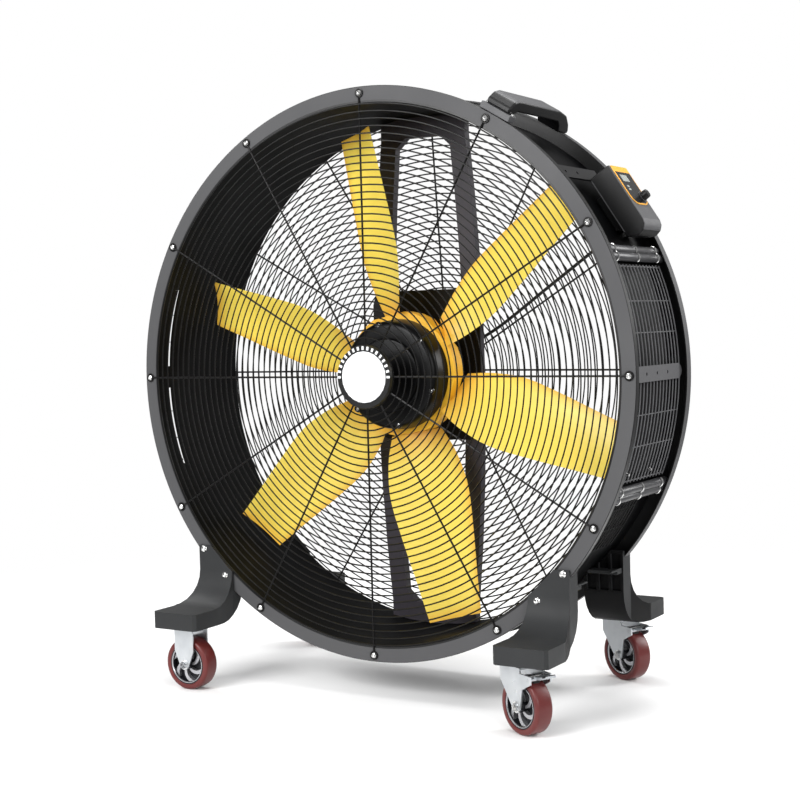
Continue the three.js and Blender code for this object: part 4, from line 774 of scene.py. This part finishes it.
dressed("motor_frame", M["frame_paint"], 1.2)
dressed("motor_plate", M["motor_housing"], 1.2)
dressed("motor_rear_cap", M["motor_housing"], 3.0, 3, 25)
fins = [placed(FIN, box_frame(360 / FIN_COUNT * k)) for k in range(FIN_COUNT)]
ribs = [placed(RIB, box_frame(360 / RIB_COUNT * k + 15)) for k in range(RIB_COUNT)]
motor = make("motor_finned", [revolve(MOTOR_PROFILE, 72, (0, 0, AXIS_Z))] + fins + ribs,
             M["motor_housing"], "fan_frame")
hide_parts("motor_body")
cap_vents = [placed(VENT, box_frame(360 / VENT_COUNT * k)) for k in range(VENT_COUNT)]
make("motor_cap_vents", cap_vents, M["frame_paint"], "fan_frame")
plate_bolts = [(x, PLATE_BOLT_Y, AXIS_Z + z) for x in (-132, 132) for z in (-147, 182)]
screws("motor_plate_bolts", plate_bolts, *PLATE_BOLT, 1)
grip = dressed("handle_grip", M["handle_black"], 6.0, 4, 25)
# Painted light and shade: the grip shows lit grey, and black on its front and its +x side as painted shade.
painted_shade_faces(grip, M["plastic_black"], lambda n, r, y: n.y < -0.45 or n.x > 0.8)
dressed("handle_base", M["plastic_grey"], 2.0)
housing = dressed("control_box", M["handle_black"], 3.0, 3, 30)
# Painted shade: the box's faces towards the front and the back, and those near the drum, take black.
painted_shade_faces(housing, M["plastic_black"], lambda n, r, y: abs(n.y) > 0.6 or r < 690)
# The strap takes the near-black of painted shade.
dressed("box_strap", M["painted_shade_black"], 0.8)
for end, inward in (("front", 1), ("rear", -1)):
    for side in ("left", "right"):
        tag = f"{end}_{side}"
        foot = dressed("foot_" + tag, M["foot_grey"], 3.5, 3, 32)
        # Painted shade: faces turned towards the drum and those underneath take the darker grey.
        painted_shade_faces(foot, M["foot_painted_shade"], lambda n, r, y: n.y * inward > 0.25 or n.z < -0.6)
        dressed("fork_" + tag, M["castor_steel"], 1.0)

# ------------------------------------------------------------------ castors

WHEEL_SPOKES = 6
SPOKE_STEPS = 8
WHEEL_SEGMENTS = 72
TYRE_PROFILE = [(48.8, -20), (52, -21), (56.5, -21), (59.6, -19.8), (61.3, -17.4), (61.9, -14), (61.9, 14),
                (61.3, 17.4), (59.6, 19.8), (56.5, 21), (52, 21), (48.8, 20)]
CORE_PROFILE = [(6.3, -24), (12.5, -24), (13, -23), (13, -5), (42.5, -5), (43.5, -17), (45, -19.5),
                (48.4, -20), (48.4, 20), (45, 19.5), (43.5, 17), (42.5, 5), (13, 5), (13, 23), (12.5, 24),
                (6.3, 24)]
# the next two are for the side towards +Y, and are mirrored for the other side
RIM_PROFILE = [(43.2, 18.6), (44.6, 20.4), (46, 20.2), (45, 18)]
NUT_PROFILE = [(0, 34.3), (8.5, 34.3), (8.5, 30.2), (11.5, 30.2), (11.5, 29.2), (0, 29.2)]
RACE_PROFILE = [(0, 133), (7, 133), (9, 134.2), (12, 134.3), (21, 137), (24, 140), (24, 141.2), (0, 141.2)]
ROD_PROFILE = [(0, -23.5), (3.2, -23.5), (3.2, 23.5), (0, 23.5)]
ROD_AT = (24, 0, 66)
SHOE = block((19, -9, 50), (34, 9, 57))
PEDAL_AT = (38, 0, 63.035)
PEDAL_TILT = math.radians(-14)
GRIP_Y = (-13.3, 5.9)
GRIP_WIDTH = 7.4


def wheel_matrix(side, end, swivels):
    """From the wheel's own frame (rolling along X, axle along Y) to the row frame."""
    trail = SWIVEL_TRAIL if swivels else 0.0
    yaw = SWIVEL_YAW if swivels else 0.0
    return (Matrix.Translation((side * CASTOR_X - trail, end * CASTOR_Y, 0)) @ Matrix.Rotation(yaw, 4, "Z")
            @ Matrix.Translation((trail, 0, AXLE_Z)))


def extruded(outline, place):
    """Points of an outline at both ends of a depth, and the faces between them."""
    count = len(outline)
    points = [place(-1, p) for p in outline] + [place(1, p) for p in outline]
    return points, [(i, (i + 1) % count, count + (i + 1) % count, count + i) for i in range(count)]


def curved_spoke(start, half_depth):
    """One swept spoke of the wheel core, thicker at the rim."""
    outline_a, outline_b = [], []
    for i in range(SPOKE_STEPS + 1):
        share = i / SPOKE_STEPS
        radius = 12 + 31.5 * share
        angle = start + 0.75 * share ** 1.3
        half = (2.6 + 4.6 * share) / radius
        outline_a.append((radius * math.cos(angle - half), radius * math.sin(angle - half)))
        outline_b.append((radius * math.cos(angle + half), radius * math.sin(angle + half)))
    outline = outline_a + outline_b[::-1]
    count = len(outline)
    points, faces = extruded(outline, lambda end, p: (p[0], end * half_depth, p[1]))
    for i in range(SPOKE_STEPS):
        faces.append((i, count - 1 - i, count - 2 - i, i + 1))
        faces.append((count + i, count + i + 1, 2 * count - 2 - i, 2 * count - 1 - i))
    return points, faces


def mirrored(profile, sense):
    return [(r, sense * a) for r, a in profile]


def turned(profile, segments, at, closed=False):
    """A turned piece of a castor, round its axle."""
    return placed(revolve(profile, segments, (0, 0, 0), closed=closed), at)


def swivel_and_brake(tag, holder, at, kingpin):
    """What the castors on the right have besides: race, brake shoe, rod and the lever's grips."""
    race = revolve(RACE_PROFILE, 32, (0, 0, 0), "Z")
    make("swivel_race_" + tag, [placed(race, kingpin)], M["castor_steel"], holder)
    shoe = make("brake_shoe_" + tag, [placed(SHOE, at)], M["plastic_black"], holder)
    bevelled(shoe, 1.5)
    rod = placed(revolve(ROD_PROFILE, 16, ROD_AT), at)
    make("brake_rod_" + tag, [rod], M["bright_screw"], holder)
    lever = at @ Matrix.Translation(PEDAL_AT) @ Matrix.Rotation(PEDAL_TILT, 4, "Y")
    grips = [placed(block((31, y, -1.2), (43.2, y + GRIP_WIDTH, 3.0)), lever) for y in GRIP_Y]
    bevelled(make("brake_grips_" + tag, grips, M["plastic_black"], "brake_" + tag), 1.0)


for end_name, end in (("front", -1), ("rear", 1)):
    for side_name, side in (("left", -1), ("right", 1)):
        tag = f"{end_name}_{side_name}"
        swivels = side == 1
        at = wheel_matrix(side, end, swivels)
        wheel_body = "wheel_" + tag
        tyre = make("tyre_turned_" + tag, [turned(TYRE_PROFILE, WHEEL_SEGMENTS, at, True)],
                    M["tyre_rubber"], wheel_body)
        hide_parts("tyre_" + tag)
        core = make("core_turned_" + tag, [turned(CORE_PROFILE, WHEEL_SEGMENTS, at, True)],
                    M["wheel_core"], wheel_body)
        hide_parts("wheel_core_" + tag)
        spokes = [placed(curved_spoke(2 * math.pi * k / WHEEL_SPOKES, 15), at) for k in range(WHEEL_SPOKES)]
        rims = [turned(mirrored(RIM_PROFILE, s), WHEEL_SEGMENTS, at, True) for s in (-1, 1)]
        make("core_spokes_" + tag, spokes + rims, M["core_silver"], wheel_body)
        holder = "castor_" + tag if swivels else "fan_frame"
        # a round head on one side of the axle and a six-sided nut on the other
        nuts = [turned(mirrored(NUT_PROFILE, s), sides, at) for s, sides in ((-1, 24), (1, 6))]
        make("axle_ends_" + tag, nuts, M["bright_screw"], holder)
        if swivels:
            kingpin = Matrix.Translation((side * CASTOR_X - SWIVEL_TRAIL, end * CASTOR_Y, 0))
            swivel_and_brake(tag, holder, at, kingpin)

# ------------------------------------------------------------------ shelves and screws of the feet

# from and to in x and y, away from the middle of the fan, and in z
SHELF_BLOCKS = (((424, 499), (98, 162), (279, 287)), ((493, 499), (66, 162), (287, 291)))
FOOT_PLATE = 7  # a foot's face in front of the flange
FOOT_SCREW_DEG = (-41.0, -48.85, -139.0, -131.15)
FOOT_SCREW = (8.5, 4.5)

shelves = []
for side in (-1, 1):
    for end in (-1, 1):
        for across, along, height in SHELF_BLOCKS:
            left, right = sorted(side * x for x in across)
            near, far = sorted(end * y for y in along)
            shelves.append(block((left, near, height[0]), (right, far, height[1])))
bevelled(make("foot_shelves", shelves, M["foot_grey"], "fan_frame"), 1.2)

for name, facing, y in (("foot_screws_front", -1, FRONT_Y - FOOT_PLATE),
                        ("foot_screws_rear", 1, REAR_Y + FOOT_PLATE)):
    screws(name, [around(SCREW_R, a, y) for a in FOOT_SCREW_DEG], *FOOT_SCREW, facing)

# ------------------------------------------------------------------ control panel and small clips

PANEL = box_frame(33.4)
CORNER_STEPS = 8
KNOB_Y, KNOB_T = 78.0, 1.0
KNOB_PROFILE = [(0, 716.6), (8.2, 716.6), (9.6, 715.4), (10.2, 713), (10.8, 704), (11, 701.8), (0, 701.8)]
COLLAR_PROFILE = [(11.3, 701.2), (14, 701.2), (14, 701.6), (11.3, 701.6)]
CLIP_SPOTS = ((31.7, 31.9), (40.1, 28.6))  # y and angle
HANDLE_ANGLE = 58.9
HANDLE_SCREW_AT = (676.2, -141)  # outwards and y
HANDLE_SCREW_PROFILE = [(0, 0), (5.5, 0), (5, 2.5), (0, 3.5)]


def on_panel(low, high):
    """A block given in the frame of the control box: outwards, y, round the drum."""
    return placed(block(low, high), PANEL)


def rounded_plate(y0, y1, t0, t1, corner_low, corner_high, r0, r1):
    """A plate in the box frame with its own corner sizes below and above."""
    outline = []
    for cy, ct, start, corner in ((y1, t0, -90, corner_low), (y1, t1, 0, corner_high),
                                  (y0, t1, 90, corner_high), (y0, t0, 180, corner_low)):
        my = cy - corner if cy == y1 else cy + corner
        mt = ct + corner if ct == t0 else ct - corner
        for i in range(CORNER_STEPS + 1):
            turn = math.radians(start + 90 * i / CORNER_STEPS)
            outline.append((my + corner * math.cos(turn), mt + corner * math.sin(turn)))
    count = len(outline)
    points, faces = extruded(outline, lambda end, p: (r0 if end < 0 else r1, *p))
    faces += [tuple(reversed(range(count))), tuple(range(count, 2 * count))]
    return placed((points, faces), PANEL)


panel = make("panel_border", [rounded_plate(6, 94, -22, 82, 26, 3, 699.3, 700.6)], M["panel_face"],
             "fan_frame")
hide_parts("control_panel")
make("panel_dark", [rounded_plate(9.5, 90.5, -18.5, 66, 22.5, 1, 700.4, 700.9)], M["panel_black"],
     "fan_frame")
displays = [on_panel((700.7, y0, t0), (701.1, y1, t1))
            for y0, y1, t0, t1 in ((24, 60, 40, 58), (26, 38, 24, 29), (26, 38, 16, 21))]
make("panel_displays", displays, M["display"], "fan_frame")
knob = revolve(KNOB_PROFILE, 40, (0, KNOB_Y, KNOB_T), "X")
knob_obj = make("knob_turned", [placed(knob, PANEL)], M["plastic_black"], "knob")
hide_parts("speed_knob")
mark = on_panel((716.3, KNOB_Y - 1.2, KNOB_T + 1), (716.6, KNOB_Y + 1.2, KNOB_T + 8))
make("knob_mark", [mark], M["disc_white"], "knob")
collar = revolve(COLLAR_PROFILE, 40, (0, KNOB_Y, KNOB_T), "X", True)
make("knob_collar", [placed(collar, PANEL)], M["plastic_grey"], "fan_frame")
seam = [on_panel((646.5, -0.35, -60), (648.5, 0.0, 78)), on_panel((652, 99.9, -60), (654, 100.3, 78))]
make("box_seam", seam, M["plastic_grey"], "fan_frame")
clips = []
for y, angle in CLIP_SPOTS:
    clips.append(placed(block((626.5, y - 1, -5), (638, y + 1, 5)), box_frame(angle)))
    clips.append(placed(block((636, y - 1, -5), (638, y + 9, 5)), box_frame(angle)))
make("drum_clips", clips, M["bright_screw"], "fan_frame")
grip_screws = [placed(revolve(HANDLE_SCREW_PROFILE, 20, (*HANDLE_SCREW_AT, t), "X"), box_frame(HANDLE_ANGLE))
               for t in (-34, 34)]
make("handle_screws", grip_screws, M["bright_screw"], "fan_frame")

# ------------------------------------------------------------------ camera

CAMERA_AT = (1857.56, -3060.75, 871.17)
CAMERA_AZ, CAMERA_EL, CAMERA_ROLL = (math.radians(a) for a in (31.395, 3.011, -1.5015))
CAMERA_LENS = 67.59
CAMERA_SENSOR = 36

scene = bpy.context.scene
back = Vector((math.sin(CAMERA_AZ) * math.cos(CAMERA_EL), -math.cos(CAMERA_AZ) * math.cos(CAMERA_EL),
               math.sin(CAMERA_EL)))
right = (-back).cross(Vector((0, 0, 1))).normalized()
up = right.cross(-back)
right, up = (math.cos(CAMERA_ROLL) * right + math.sin(CAMERA_ROLL) * up,
             -math.sin(CAMERA_ROLL) * right + math.cos(CAMERA_ROLL) * up)
camera_data = bpy.data.cameras.new("camera")
camera_data.lens = CAMERA_LENS
camera_data.sensor_width = CAMERA_SENSOR
camera_data.clip_end = 100
camera = bpy.data.objects.new("camera", camera_data)
pose = Matrix((right, up, back)).transposed().to_4x4()
pose.translation = Vector(CAMERA_AT) * MM
camera.matrix_world = pose
scene.collection.objects.link(camera)
scene.camera = camera

# ------------------------------------------------------------------ light, world and floor

# name, place, what it points at, width and height, power; metres and watts
LIGHTS = (
    ("key", (-1.1, -3.9, 2.5), (0, 0, 0.8), (2.4, 2.4), 215),
    ("fill", (3.5, -2.5, 2.1), (0, 0, 0.8), (2.0, 2.4), 92),
    ("top", (0.4, 0.2, 3.6), (0, 0, 0.7), (2.4, 1.8), 80),
    ("back_right", (3.0, 2.4, 2.2), (0.3, 0, 0.8), (1.4, 2.0), 100),
    ("back_left", (-3.7, 0.9, 2.5), (0, 0, 0.8), (1.4, 2.0), 75),
)
WORLD_STRENGTH = 0.32
WHITE = (1, 1, 1, 1)
FLOOR_REACH = 14.0
FLOOR_FADE = (1.1, 2.3)  # metres from the middle, from solid to clear

for name, at, target, size, power in LIGHTS:
    lamp = bpy.data.lights.new(name, "AREA")
    lamp.shape = "RECTANGLE"
    lamp.size, lamp.size_y = size
    lamp.energy = power
    light = bpy.data.objects.new(name, lamp)
    light.location = at
    light.rotation_euler = (Vector(target) - Vector(at)).to_track_quat("-Z", "Y").to_euler()
    scene.collection.objects.link(light)

# The world lights the fan softly, and the camera alone sees it as white.
world = bpy.data.worlds.new("studio")
scene.world = world
world.use_nodes = True
nodes, links = world.node_tree.nodes, world.node_tree.links
background = nodes["Background"]
background.inputs["Color"].default_value = WHITE
background.inputs["Strength"].default_value = WORLD_STRENGTH
white = nodes.new("ShaderNodeBackground")
white.inputs["Color"].default_value = WHITE
white.inputs["Strength"].default_value = 1.0
light_path = nodes.new("ShaderNodeLightPath")
choose = nodes.new("ShaderNodeMixShader")
links.new(light_path.outputs["Is Camera Ray"], choose.inputs["Fac"])
links.new(background.outputs["Background"], choose.inputs[1])
links.new(white.outputs["Background"], choose.inputs[2])
links.new(choose.outputs["Shader"], nodes["World Output"].inputs["Surface"])

# The floor takes the shadow near the castors and fades out into the white.
floor_mesh = bpy.data.meshes.new("floor")
floor_mesh.from_pydata([(-FLOOR_REACH, -FLOOR_REACH, 0), (FLOOR_REACH, -FLOOR_REACH, 0),
                        (FLOOR_REACH, FLOOR_REACH, 0), (-FLOOR_REACH, FLOOR_REACH, 0)], [], [(0, 1, 2, 3)])
floor = bpy.data.objects.new("floor", floor_mesh)
scene.collection.objects.link(floor)
floor_material = finish("floor", (0.92, 0.92, 0.92, 1), (0.9, 0.9, 0.9, 1), (0.7, 0.8), 0, 2, 60, 0.0)
floor_mesh.materials.append(floor_material)
nodes, links = floor_material.node_tree.nodes, floor_material.node_tree.links
spot = nodes.new("ShaderNodeTexCoord")
away = nodes.new("ShaderNodeVectorMath")
away.operation = "LENGTH"
links.new(spot.outputs["Object"], away.inputs[0])
fade = nodes.new("ShaderNodeMapRange")
fade.inputs["From Min"].default_value, fade.inputs["From Max"].default_value = FLOOR_FADE
links.new(away.outputs["Value"], fade.inputs["Value"])
clear = nodes.new("ShaderNodeBsdfTransparent")
blend = nodes.new("ShaderNodeMixShader")
links.new(fade.outputs["Result"], blend.inputs["Fac"])
links.new(nodes["Principled BSDF"].outputs["BSDF"], blend.inputs[1])
links.new(clear.outputs["BSDF"], blend.inputs[2])
links.new(blend.outputs["Shader"], nodes["Material Output"].inputs["Surface"])

scene.view_settings.view_transform = "Standard"
